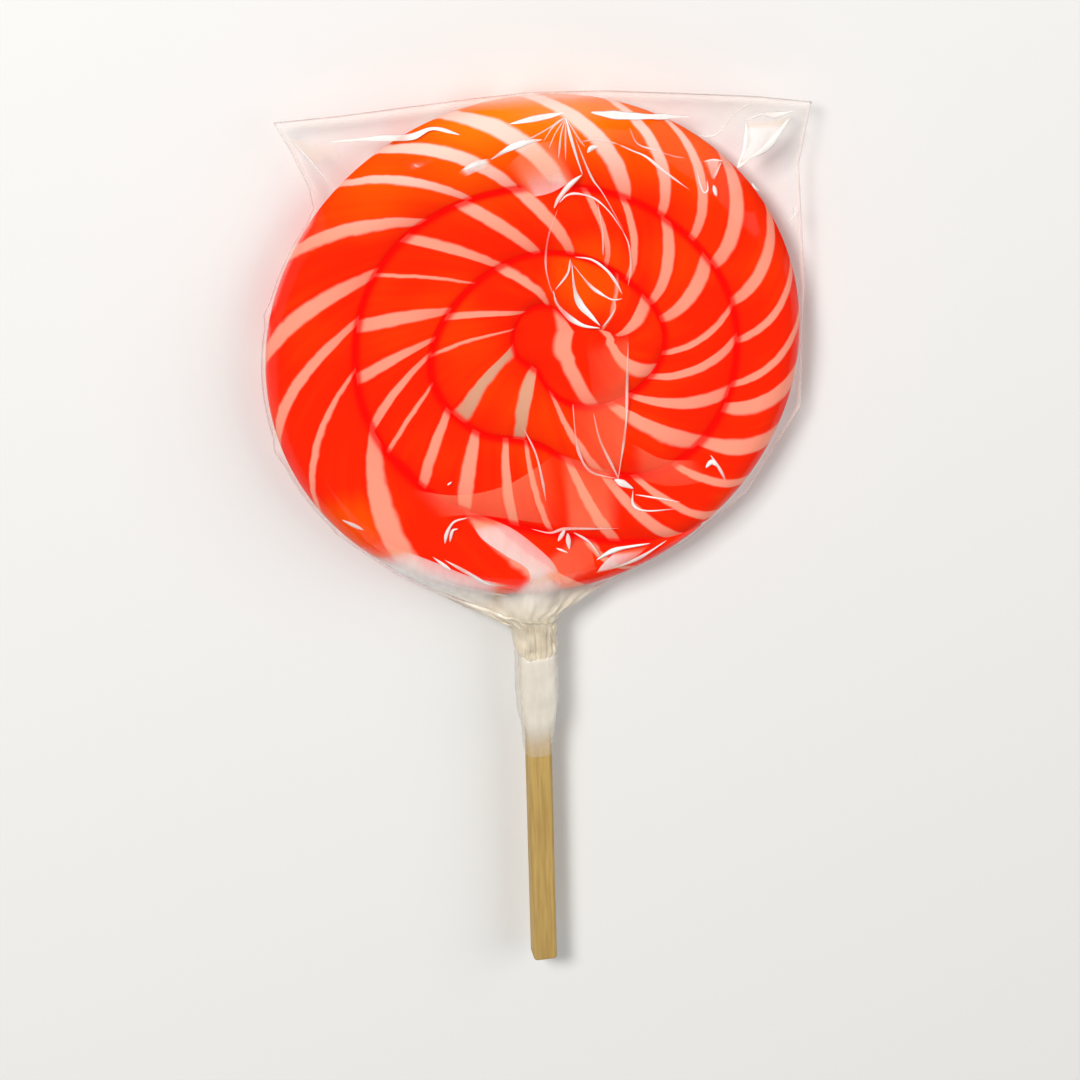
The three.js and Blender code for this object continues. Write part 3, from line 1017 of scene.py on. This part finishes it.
TOP_LINES = (
    (0.9, 0.4, 0.95, ((-31.5, 39.5), (-24.0, 39.5), (-19.0, 39.5), (-15.5, 40.5), (-11.5, 39.7))),
    (0.5, 0.3, 0.5, ((-37.5, 40.5), (-34.5, 37.0), (-32.0, 33.5))),
    (0.6, 0.3, 0.9, ((-4.0, 40.8), (0.0, 41.2), (4.9, 41.5))),
    (0.9, 0.4, 1.0, ((9.0, 41.0), (12.0, 40.3), (17.0, 39.3), (25.0, 38.0))),
    (0.9, 0.4, 1.0, ((-11.5, 34.7), (-9.5, 35.4), (-7.5, 35.6))),
    (1.1, 0.4, 0.95, ((-7.3, 35.9), (-4.6, 37.3), (-1.8, 38.1), (0.9, 38.3))),
    (0.7, 0.35, 0.9, ((7.8, 35.5), (8.5, 36.2), (9.5, 36.3))),
    (0.5, 0.3, 0.8, ((12.9, 36.2), (15.0, 35.0), (17.1, 33.8), (19.7, 31.3), (23.9, 27.6))),
    (0.3, 0.25, 0.55, ((14.8, 38.3), (15.8, 36.0), (18.3, 34.7), (21.6, 33.2), (23.4, 32.6))),
    (0.4, 0.3, 0.75, ((25.2, 30.9), (25.5, 28.8), (26.1, 27.0), (26.8, 27.2), (26.8, 28.7))),
    (0.5, 0.3, 0.8, ((26.4, 31.5), (28.0, 31.5), (29.6, 31.1))),
    (0.45, 0.3, 0.6, ((29.4, 31.0), (28.6, 29.8), (27.9, 28.7))),
    (0.7, 0.3, 0.7, ((27.8, 27.8), (28.2, 26.0))),
    (0.45, 0.3, 0.7, ((34.2, 27.0), (34.8, 26.0), (35.6, 25.2))),
)
PATCH_EDGES = (
    (0.7, 0.35, 0.65, ((7.0, 32.0), (5.0, 30.5), (3.3, 28.5), (2.4, 26.8))),
    (0.5, 0.3, 0.8, ((3.2, 27.6), (4.6, 28.8), (6.4, 28.8), (8.9, 27.7), (11.2, 25.2),
     (13.4, 21.5))),
    (0.35, 0.25, 0.5, ((13.0, 22.3), (14.1, 19.4), (14.4, 15.5), (13.9, 12.4))),
    (0.3, 0.2, 0.4, ((9.3, 27.2), (10.0, 22.0), (10.0, 18.0))),
    (0.3, 0.2, 0.4, ((3.0, 26.6), (1.4, 22.0), (0.9, 17.5), (1.6, 13.4), (3.0, 10.4))),
)
LOOPS = (
    (0.6, 0.4, 0.95, ((4.8, 18.0), (4.3, 15.5), (2.3, 13.0))),
    (0.8, 0.5, 1.0, ((2.0, 13.0), (2.5, 10.7), (4.3, 8.2), (6.6, 6.4), (9.4, 5.6))),
    (0.8, 0.45, 1.0, ((5.0, 17.5), (5.4, 12.7), (6.3, 10.0), (7.8, 8.0), (9.4, 6.0))),
    (0.5, 0.35, 0.9, ((5.2, 17.0), (7.8, 13.2), (9.6, 11.5), (11.4, 10.3), (13.0, 10.3))),
    (0.45, 0.3, 0.8, ((5.5, 18.3), (8.2, 17.5), (10.5, 15.5), (12.0, 13.2), (13.0, 11.0))),
    (0.35, 0.25, 0.5, ((11.6, 10.5), (11.8, 8.8), (10.8, 7.0), (9.6, 5.7))),
)
VEIL_EDGES = (
    (0.45, 0.3, 0.6, ((13.8, 3.0), (13.5, -5.0), (13.2, -12.0), (11.8, -21.5))),
    (0.4, 0.25, 0.5, ((4.7, -7.0), (5.0, -12.0), (5.6, -16.0), (7.5, -19.5), (12.0, -21.3))),
    (0.4, 0.25, 0.45, ((8.0, -9.0), (9.0, -14.0), (11.0, -19.0), (12.0, -21.5))),
    (0.4, 0.25, 0.5, ((-3.5, -10.0), (-1.5, -15.0), (-0.5, -20.0), (0.0, -24.0))),
)
LOWER_MARKS = (
    (1.3, 0.5, 1.0, ((11.2, -21.3), (12.8, -22.3), (14.3, -23.3))),
    (0.55, 0.35, 0.9, ((14.5, -24.4), (18.5, -25.6), (22.0, -26.7))),
    (0.55, 0.35, 0.85, ((14.2, -23.5), (14.3, -26.3), (16.5, -27.6), (21.5, -27.8))),
    (0.7, 0.35, 0.9, ((26.2, -21.0), (27.2, -20.1), (28.3, -21.0))),
    (0.45, 0.3, 0.8, ((27.0, -18.8), (28.6, -21.7), (29.6, -24.0))),
    (0.6, 0.35, 0.9, ((-16.6, -29.4), (-16.2, -27.5), (-15.0, -25.7), (-12.8, -25.2))),
    (0.45, 0.3, 0.8, ((-15.8, -29.2), (-15.3, -27.3), (-14.4, -27.0))),
    (0.9, 0.4, 0.9, ((-15.6, -18.6), (-15.4, -18.9))),
    (0.5, 0.3, 0.6, ((-2.5, -28.5), (0.5, -29.6), (3.0, -29.2), (8.0, -29.8), (12.0, -30.2))),
    (0.6, 0.4, 0.95, ((1.8, -31.3), (2.4, -30.3), (3.0, -29.3))),
    (0.7, 0.4, 0.95, ((3.4, -30.0), (3.6, -33.0))),
    (0.5, 0.35, 0.9, ((1.5, -32.5), (3.4, -33.6))),
    (0.5, 0.35, 0.8, ((4.4, -30.0), (6.8, -32.0), (8.6, -34.8))),
    (0.8, 0.4, 1.0, ((8.0, -35.5), (11.4, -34.0), (17.0, -33.6))),
    (0.6, 0.35, 0.9, ((10.7, -37.7), (15.2, -36.4), (19.8, -33.6))),
    (0.5, 0.3, 0.9, ((-18.7, -31.5), (-17.0, -33.2), (-15.6, -34.5))),
    (0.7, 0.35, 0.8, ((-16.8, -32.3), (-12.6, -35.6), (-9.9, -37.8), (-6.6, -38.7))),
    (0.6, 0.3, 0.6, ((-32.8, -23.7), (-31.0, -24.7), (-29.5, -25.6))),
    (0.6, 0.35, 0.8, ((-22.0, -36.0), (-17.0, -39.5), (-12.5, -42.0))),
    (0.5, 0.3, 0.7, ((-30.0, -30.5), (-24.5, -35.0), (-19.0, -38.8))),
    (0.5, 0.3, 0.6, ((-25.5, -35.0), (-18.0, -40.3), (-10.5, -44.2))),
    (0.4, 0.3, 0.6, ((-38.0, -20.3), (-36.0, -23.4), (-33.5, -26.4))),
    (0.5, 0.35, 0.8, ((-20.0, -35.0), (-13.0, -39.0), (-6.0, -41.5))),
    (1.0, 0.45, 0.95, ((-19.0, -40.5), (-11.0, -44.0), (-4.0, -46.6), (1.6, -47.8))),
    (0.7, 0.4, 0.9, ((-13.5, -44.0), (-7.5, -46.8), (-3.0, -48.6))),
    (0.8, 0.4, 0.9, ((1.9, -47.5), (1.2, -50.0), (1.8, -53.0))),
)
RIGHT_CORNER = (
    (1.0, 0.4, 1.0, ((31.9, 29.6), (33.2, 31.8), (33.9, 33.8), (34.0, 36.2))),
    (1.3, 0.4, 1.0, ((31.9, 29.6), (34.3, 30.9), (36.8, 32.0), (39.0, 33.8), (41.2, 35.9))),
    (0.7, 0.3, 0.8, ((33.8, 36.3), (36.5, 36.9), (39.0, 36.5), (42.0, 36.8))),
    (0.4, 0.3, 0.6, ((25.7, 35.3), (28.8, 35.0), (32.2, 37.6), (35.5, 39.0))),
    (0.4, 0.3, 0.8, ((40.6, 18.6), (41.8, 19.1), (42.9, 19.8))),
    (0.35, 0.3, 0.7, ((41.4, 21.0), (41.8, 19.1), (41.9, 17.4))),
    (0.3, 0.3, 0.6, ((40.9, 17.7), (41.8, 19.1), (42.6, 20.7))),
)
CREASES = tuple(
    Crease(*row)
    for row in (
        *STAR_UNDER_TOP_EDGE, *TOP_LINES, *PATCH_EDGES, *LOOPS, *VEIL_EDGES, *LOWER_MARKS,
        *RIGHT_CORNER,
    )
)


@dataclass
class FilmCreases:
    """Sharp pinched creases: closed slivers, peaked above and level below, on the front sheet.
    Their whiteness is partly that of creased film and partly painted glints.
    """

    shape: FilmShape
    creases: tuple[Crease, ...] = CREASES
    steps_along: int = 48
    steps_across: int = 8
    lift: float = 0.02
    steepness: float = 0.5
    end_power: float = 0.7
    ridge_power: float = 1.4
    unevenness: float = 0.55
    haze_power: float = 1.4
    haze_mean: float = 0.74
    haze_swing: float = 0.60

    def sliver(self, crease: Crease) -> Surface:
        """One crease: a section that is swept along its line and thins out at both ends.

        Across, the upper side rises as (1 - |s|)^1.4 with s from -1 to 1, so it has a sharp
        ridge, and the lower side lies just above the film. Along, width and height follow a
        half sine to the power 0.7, made uneven by noise. Its whiteness is the crease's haze
        to the power 1.4, which sets faint creases further back, times 0.74 plus noise.
        """
        line = smooth_line(np.array(crease.line), self.steps_along + 1)
        along = np.gradient(line, axis=0)
        along = along / np.linalg.norm(along, axis=1, keepdims=True)
        normal = np.stack([-along[:, 1], along[:, 0]], axis=-1)
        sine = np.maximum(np.sin(np.pi * np.linspace(0, 1, len(line))), 0)[:, None]
        uneven = self.unevenness * Hills.CREASE_SIZE.at(line[:, :1], line[:, 1:])
        size = sine**self.end_power * (1 + uneven)
        over = np.linspace(-1, 1, self.steps_across + 1)
        around = np.concatenate([over, over[-2:0:-1]])[None, :]
        ridge = (1 - np.abs(over)) ** self.ridge_power
        above = np.concatenate([ridge, np.zeros(len(over) - 2)])[None, :]
        offset = 0.5 * crease.width * size * around
        x = line[:, :1] + normal[:, :1] * offset
        y = line[:, 1:] + normal[:, 1:] * offset
        z = self.shape.height(x, y) + self.lift + self.steepness * crease.height * size * above
        sliver = Surface.grid(np.stack([x, y, z], axis=-1), around=True)
        # Whiteness: partly creased film, partly painted glints.
        patchy = self.haze_mean + self.haze_swing * Hills.CREASE_HAZE.at(x, y)
        haze = crease.haze**self.haze_power * patchy
        sliver.values = {"haze": np.clip(haze, 0, 1).ravel()}
        return sliver

    def build(self) -> bpy.types.Object:
        """Makes all creases as one piece."""
        first, *others = (self.sliver(crease) for crease in self.creases)
        creases = first.joined(*others).to_object("film_creases", self.shape.place, weld=WELD)
        # White of the creases is partly painted glints.
        dress(creases, ClearFilm("creased_film", clear_share=0.04).material())
        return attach(creases, BODY)


@dataclass(frozen=True)
class Fold:
    """A doubled patch of film between two lines on the front.

    Attributes:
        first_haze: How white it is along the first line.
        second_haze: How white it is along the second line.
        first: Places that the first line runs through.
        second: Places that the second line runs through, in the same direction.
    """

    first_haze: float
    second_haze: float
    first: Line
    second: Line


# The folds at the top right corner, under the top-left line and at (27, 30) are whitened as
# painted highlights; the rest are milky doubled film.
FOLDS = tuple(Fold(*row) for row in (
    (0.04, 0.15, ((4.7, -6.0), (5.0, -12.0), (7.5, -19.5), (12.0, -21.4)),
     ((13.8, -3.0), (13.5, -9.0), (13.0, -15.0), (11.9, -21.2))),
    (0.02, 0.10, ((7.0, 3.0), (7.5, -2.0), (8.0, -8.0)),
     ((13.8, 4.5), (13.8, -1.0), (13.6, -6.0))),
    (0.16, 0.11, ((-22.0, -19.0), (-14.0, -21.0), (-6.0, -20.0), (2.0, -15.5)),
     ((-18.0, -24.5), (-12.0, -24.8), (-5.0, -26.5), (3.0, -28.8))),
    (0.10, 0.18, ((2.0, -15.5), (6.0, -17.5), (12.6, -20.5)),
     ((3.0, -28.8), (6.5, -29.4), (12.2, -29.9))),
    (0.12, 0.06, ((14.0, -15.0), (19.0, -18.5), (25.0, -19.5)),
     ((14.0, -21.0), (20.0, -23.5), (27.0, -23.5))),
    (0.62, 0.38, ((-12.6, -25.3), (-10.6, -29.2), (-7.0, -32.6), (-3.2, -36.0), (-3.0, -40.5)),
     ((-11.2, -24.7), (-5.8, -27.9), (-1.4, -32.2), (1.2, -35.6), (2.4, -39.5))),
    (0.16, 0.10, ((-0.5, -34.0), (1.5, -37.0), (3.5, -40.0)),
     ((4.5, -30.5), (7.0, -33.0), (8.0, -38.0))),
    (0.60, 0.30, ((8.0, -38.3), (9.0, -36.5), (11.4, -34.2)),
     ((11.0, -38.0), (14.0, -36.5), (17.0, -33.8))),
    (0.95, 0.42, ((-30.0, -30.2), (-22.0, -37.0), (-14.0, -42.0), (-6.5, -45.5)),
     ((-27.0, -27.8), (-18.5, -32.5), (-12.0, -36.3), (-5.0, -38.8))),
    (0.12, 0.42, ((-5.0, 34.5), (-1.0, 37.5), (3.5, 38.0)),
     ((-2.0, 29.0), (2.0, 29.5), (6.0, 31.5))),
    (0.60, 0.35, ((-12.5, 34.3), (-10.0, 35.8), (-7.0, 36.2)),
     ((-11.5, 33.4), (-9.5, 34.2), (-7.0, 34.6))),
    (0.14, 0.08, ((-38.0, 41.0), (-35.5, 38.5), (-33.0, 36.0)),
     ((-31.5, 39.5), (-30.5, 38.5), (-29.5, 37.0))),
    (0.45, 0.40, ((31.9, 29.6), (33.8, 33.0), (34.0, 36.4)),
     ((32.0, 29.7), (36.8, 32.2), (41.4, 36.4))),
    (0.40, 0.30, ((26.4, 31.6), (28.0, 31.5), (29.6, 31.2)),
     ((27.4, 29.2), (27.9, 28.7), (28.5, 29.4))),
))


@dataclass
class FilmFolds:
    """Patches of doubled film on the front sheet, whiter at the edge where they were folded. Their
    orange tint stands in for the candy's light seen through the film, and on a few facets their
    whiteness is a painted highlight.
    """

    shape: FilmShape
    folds: tuple[Fold, ...] = FOLDS
    steps_along: int = 44
    steps_across: int = 14
    lift: float = 0.05
    camber: float = 0.16
    end_share: float = 0.25

    def patch(self, fold: Fold) -> Surface:
        """One fold: straight lines from the first line to the second, bowed up by a half sine.

        Its whiteness goes from the first line's to the second line's and fades at both ends.
        """
        first = smooth_line(np.array(fold.first), self.steps_along + 1)[:, None, :]
        second = smooth_line(np.array(fold.second), self.steps_along + 1)[:, None, :]
        over = np.linspace(0, 1, self.steps_across + 1)[None, :, None]
        x, y = np.moveaxis(lerp(first, second, over), -1, 0)
        along = np.linspace(0, 1, self.steps_along + 1)[:, None]
        ends = smoothstep(np.minimum(along, 1 - along), 0, self.end_share)
        bow = self.camber * np.sin(np.pi * over[..., 0]) * ends
        points = np.stack([x, y, self.shape.height(x, y) + self.lift + bow], axis=-1)
        down = np.cross(points[1, 0] - points[0, 0], points[0, 1] - points[0, 0])[2] > 0
        patch = Surface.grid(points, flip=bool(down))
        haze = lerp(fold.first_haze, fold.second_haze, over[..., 0]) * ends
        patch.values = {"haze": haze.ravel()}
        return patch

    def build(self) -> bpy.types.Object:
        """Makes all folds as one piece."""
        first, *others = (self.patch(fold) for fold in self.folds)
        folds = first.joined(*others).to_object("film_folds", self.shape.place)
        # The orange thin tint is painted light: the candy's glow seen through the doubled film.
        film = ClearFilm("folded_film", thin=(0.97, 0.60, 0.30), clear_share=0.0)
        dress(folds, film.material())
        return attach(folds, BODY)


@dataclass(frozen=True)
class FilmSkin:
    """What every film shares: how much it covers, its colour and its crinkle."""

    name: str = "film_skin"
    streak_scale: float = 900.0
    streak_stretch: Place = (1.0, 0.3, 1.0)
    streak_share: float = 0.4
    least_cover: float = 0.8
    full_cover: float = 0.97
    neck_fade: float = 0.012
    thick_span: Span = (0.18, 0.45)

    def group(self) -> bpy.types.NodeTree:
        """The shader group, made once.

        Returns:
            The group. Its inputs are the haze, what even clear film covers, the colours of
            thin haze, of thick haze and of gathered film, where the neck starts, and the
            crinkle's scale. Its outputs are the cover, the colour and a bump height.
        """
        if self.name in bpy.data.node_groups:
            return bpy.data.node_groups[self.name]
        group = bpy.data.node_groups.new(self.name, "ShaderNodeTree")
        for way, kind, labels in (
            ("INPUT", "Float", ("Haze", "Clear Share", "Neck Start", "Crinkle Scale")),
            ("INPUT", "Color", ("Thin", "White", "Cream")),
            ("OUTPUT", "Float", ("Cover", "Height")),
            ("OUTPUT", "Color", ("Colour",)),
        ):
            for label in labels:
                group.interface.new_socket(label, in_out=way, socket_type="NodeSocket" + kind)
        n = Nodes(group)
        given = n.outputs(n.add("NodeGroupInput"))
        haze, neck_start = given["Haze"], given["Neck Start"]
        place = n.get("TexCoord", "Object")
        drawn_out = n.get("Mapping", Vector=place, Scale=self.streak_stretch)
        streak = n.noise(drawn_out, self.streak_scale, 2) * self.streak_share
        cover = haze * (streak + self.least_cover) + given["Clear Share"]
        cover = n.math("MINIMUM", cover, self.full_cover)
        near_neck = n.ramp(n.split(place)[1] * -1.0, neck_start, neck_start + self.neck_fade)
        colour = n.mix(n.ramp(haze, *self.thick_span), given["Thin"], given["White"])
        colour = n.mix(near_neck, colour, given["Cream"])
        crinkle = n.noise(place, given["Crinkle Scale"], 3)
        n.add("NodeGroupOutput", Cover=cover, Colour=colour, Height=crinkle)
        return group


@dataclass(frozen=True)
class ClearFilm:
    """Thin clear film: see-through, glossy, and milky where its haze value says so."""

    name: str
    thin: Rgb = (0.95, 0.82, 0.74)
    white: Rgb = (0.95, 0.90, 0.86)
    cream: Rgb = (0.76, 0.66, 0.50)
    clear_share: float = 0.001
    roughness: float = 0.4
    gloss: float = 0.05
    crinkle: float = 160.0
    neck_start: float = 0.001
    ior: float = 1.25

    def material(self) -> bpy.types.Material:
        """Builds the material: clear or milky by haze, under a gloss that follows Fresnel.

        Thin film mirrors as much from behind as from the front, so the index is turned over
        for faces seen from behind. Its gloss casts no shadow.
        """
        material, n = new_material(self.name)
        group = n.add(
            "Group",
            node_tree=FilmSkin().group(),
            Haze=n.get("Attribute", "Fac", attribute_name="haze"),
            Clear_Share=self.clear_share,
            Neck_Start=self.neck_start,
            Crinkle_Scale=self.crinkle,
            Thin=self.thin,
            White=self.white,
            Cream=self.cream,
        )
        skin = n.outputs(group)
        normal = n.get("Bump", Strength=0.35, Distance=0.0002, Height=skin["Height"])
        milky = n.get(
            "BsdfPrincipled",
            Base_Color=skin["Colour"],
            Roughness=self.roughness,
            Normal=normal,
        )
        body = n.get("MixShader", _0=skin["Cover"], _1=n.get("BsdfTransparent"), _2=milky)
        gloss = n.get("BsdfGlossy", Roughness=self.gloss, Normal=normal)
        behind = n.get("NewGeometry", "Backfacing")
        index = self.ior - behind * (self.ior - 1 / self.ior)
        mirror = n.get("Fresnel", IOR=index, Normal=normal)
        lit = 1.0 - n.get("LightPath", "Is Shadow Ray")
        whole = n.get("MixShader", _0=mirror * lit, _1=body, _2=gloss)
        n.add("OutputMaterial", Surface=whole)
        return material


@dataclass
class TapeSleeve:
    """Clear tape wound round the gathered film, tapering onto the stick at its lower end.

    Spans along the sleeve are in millimetres from the disc's centre towards the stick. Each
    kind of pucker has its height and how much it is drawn together along the sleeve.
    """

    place: DiscFrame
    stick_x: float = -1.2
    rows: Line = (
        (-54.3, 2.95), (-54.9, 3.36), (-58.0, 3.46), (-61.5, 3.5), (-64.5, 3.3),
        (-68.0, 2.85), (-71.4, 2.5), (-73.2, 2.35), (-73.4, 2.2),
    )
    squareness: float = 3.2
    mean_size: float = 3.2
    puckers: tuple[tuple[Hills, float, float], ...] = (
        (Hills.PUCKER, 0.10, 0.35), (Hills.SMALL_PUCKER, 0.07, 0.7)
    )
    pucker_start: Span = (54.4, 57.0)
    pucker_end: Span = (71.0, 73.0)
    edge_swing: float = 0.55
    edge_span: Span = (54.3, 58.0)
    thick_haze: float = 0.6
    end_haze: float = 0.18
    end_span: Span = (66.5, 73.5)
    # The sides are less milky than the top and bottom: a painted highlight down the sleeve's
    # middle.
    shaded_side_haze: float = 0.45
    shaded_side_span: Span = (0.5, 0.95)
    steps_down: int = 90
    steps_round: int = 120

    def build(self) -> bpy.types.Object:
        """Makes the sleeve: squarish ovals carried down the stick, with small puckers."""
        line = smooth_line(np.array(self.rows), self.steps_down)
        y, size = line[:, :1], line[:, 1:]
        angle = np.linspace(0, 2 * np.pi, self.steps_round, endpoint=False)[None, :]
        c, s = np.cos(angle), np.sin(angle)
        turn = angle * self.mean_size
        pucker = sum(tall * kind.at(turn, y * drawn) for kind, tall, drawn in self.puckers)
        size = size + pucker * plateau(-y, self.pucker_start, self.pucker_end)
        swing = self.edge_swing * Hills.TAPE_EDGE.at(turn, 0 * y)
        y = y + swing * (1 - smoothstep(-y, *self.edge_span))
        power = 2 / self.squareness
        x = self.stick_x + size * np.sign(c) * np.abs(c) ** power
        z = size * np.sign(s) * np.abs(s) ** power
        sleeve = Surface.grid(np.stack([x, y, z], axis=-1), around=True)
        haze = lerp(self.thick_haze, self.end_haze, smoothstep(-y, *self.end_span))
        # Painted highlight: milkier along the top and bottom, clearer at the sides.
        haze = haze * lerp(1.0, self.shaded_side_haze, smoothstep(np.abs(c), *self.shaded_side_span))
        sleeve.values = {"haze": haze.ravel()}
        tape = sleeve.to_object("clear_tape", self.place)
        dress(tape, ClearFilm("clear_tape", cream=(0.90, 0.85, 0.76), gloss=0.16).material())
        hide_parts("tape")
        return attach(tape, BODY)


@dataclass(frozen=True)
class PaleWood:
    """Bare pale wood with fine grain along the stick."""

    light: Rgb = (0.50, 0.33, 0.095)
    dark: Rgb = (0.39, 0.235, 0.062)
    roughness: float = 0.62
    grain_scale: float = 1800.0
    grain_stretch: Place = (1.0, 0.05, 1.0)
    grain_span: Span = (0.35, 0.7)

    def material(self) -> bpy.types.Material:
        """Builds the material: streaks drawn out along the stick."""
        material, n = new_material("pale_wood")
        place = n.get("TexCoord", "Object")
        drawn_out = n.get("Mapping", Vector=place, Scale=self.grain_stretch)
        streak = n.ramp(n.noise(drawn_out, self.grain_scale, 4), *self.grain_span)
        shader = n.get(
            "BsdfPrincipled",
            Base_Color=n.mix(streak, self.light, self.dark),
            Roughness=self.roughness,
            Normal=n.get("Bump", Strength=0.3, Distance=0.00015, Height=streak),
        )
        n.add("OutputMaterial", Surface=shader)
        return material


# ---- floor, light and camera


@dataclass(frozen=True)
class SoftLight:
    """A square soft light that faces the disc; metres from its centre, and watts."""

    name: str
    at: Place
    size: float
    power: float

    def build(self, centre: Vector) -> None:
        """Puts the light up, about the disc's centre."""
        data = bpy.data.lights.new(self.name, "AREA")
        data.size = self.size
        data.energy = self.power
        light = bpy.data.objects.new(self.name, data)
        light.location = centre + Vector(self.at)
        light.rotation_mode = "QUATERNION"
        light.rotation_quaternion = Vector(self.at).to_track_quat("Z", "Y")
        bpy.context.scene.collection.objects.link(light)


@dataclass
class Studio:
    """Pale floor, soft lights and the camera that looks down on the lollipop.

    Lengths of the camera are in millimetres and its angles in degrees; the floor is in metres.
    """

    place: DiscFrame
    camera_distance: float = 670.7
    camera_turn: float = 10.5
    camera_rise: float = 25.4
    camera_roll: float = 1.5
    aim: Place = (0.0, -34.0, 0.0)
    lens: float = 141.0
    floor_size: float = 6.0
    floor_colour: Rgb = (0.78, 0.77, 0.75)
    floor_roughness: float = 0.7
    lights: tuple[SoftLight, ...] = (
        SoftLight("key", (-0.5, 0.6, 0.85), 0.28, 11.8),
        SoftLight("fill", (0.85, 0.35, 0.8), 1.0, 6.5),
        SoftLight("front", (-0.1, -1.1, 0.5), 0.8, 2.5),
    )
    sky_colour: Rgb = (1.0, 0.99, 0.97)
    sky_strength: float = 0.22

    def camera(self) -> None:
        """Places the camera: head of the disc away from it, the stick towards the lower edge."""
        angles = self.camera_turn, self.camera_rise, self.camera_roll
        turn, rise, roll = map(math.radians, angles)
        level = math.cos(rise)
        toward = Vector((-math.sin(turn) * level, math.sin(rise), math.cos(turn) * level))
        eye = self.place.centre + toward * self.camera_distance * MM
        aim = Vector(self.place.to_row(np.array(self.aim)))
        back = (eye - aim).normalized()
        up = (Vector((0, 1, 0)) - back * back.y).normalized()
        right = up.cross(back)
        rolled_right = right * math.cos(roll) - up * math.sin(roll)
        rolled_up = right * math.sin(roll) + up * math.cos(roll)
        data = bpy.data.cameras.new("camera")
        data.lens = self.lens
        data.clip_start = 0.01
        camera = bpy.data.objects.new("camera", data)
        rows = [(rolled_right[i], rolled_up[i], back[i], eye[i]) for i in range(3)]
        camera.matrix_world = Matrix([*rows, (0, 0, 0, 1)])
        bpy.context.scene.collection.objects.link(camera)
        bpy.context.scene.camera = camera

    def floor(self) -> None:
        """A plain pale floor."""
        side = self.floor_size / 2
        corners = [(side * x, side * y, 0) for x, y in ((-1, -1), (1, -1), (1, 1), (-1, 1))]
        mesh = bpy.data.meshes.new("floor")
        mesh.from_pydata(corners, [], [(0, 1, 2, 3)])
        floor = bpy.data.objects.new("floor", mesh)
        bpy.context.scene.collection.objects.link(floor)
        material, n = new_material("pale_floor")
        finish = {"Base_Color": self.floor_colour, "Roughness": self.floor_roughness}
        n.add("OutputMaterial", Surface=n.get("BsdfPrincipled", **finish))
        dress(floor, material)

    def build(self) -> None:
        """Sets up the floor, the lights, the camera and the surrounding light."""
        self.floor()
        self.camera()
        for light in self.lights:
            light.build(self.place.centre)
        world = bpy.data.worlds.new("studio")
        world.use_nodes = True
        backdrop = world.node_tree.nodes["Background"]
        backdrop.inputs["Color"].default_value = (*self.sky_colour, 1.0)
        backdrop.inputs["Strength"].default_value = self.sky_strength
        bpy.context.scene.world = world
        bpy.context.scene.view_settings.view_transform = "Standard"


# ---- putting it together


def disc_frame() -> DiscFrame:
    """Finds the disc's centre from the candy's solid: its rim is round and its face is flat."""
    low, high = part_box("candy")
    radius, height = DiscFrame.rim_radius * MM, DiscFrame.face_height * MM
    return DiscFrame((low.x + high.x) / 2, high.y - radius, high.z - height)


def main() -> None:
    """Builds every piece in order."""
    logging.basicConfig(level=logging.INFO, format="%(name)s: %(message)s")
    place = disc_frame()
    shape = FilmShape(place)
    makers = (
        CandyRope(place), FilmPouch(shape), FilmFolds(shape), FilmCreases(shape), TapeSleeve(place)
    )
    for maker in makers:
        piece = maker.build()
        LOG.info("%s: %d faces", piece.name, len(piece.data.polygons))
    dress(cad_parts["stick"], PaleWood().material())
    Studio(place).build()


if __name__ == "__main__":
    main()
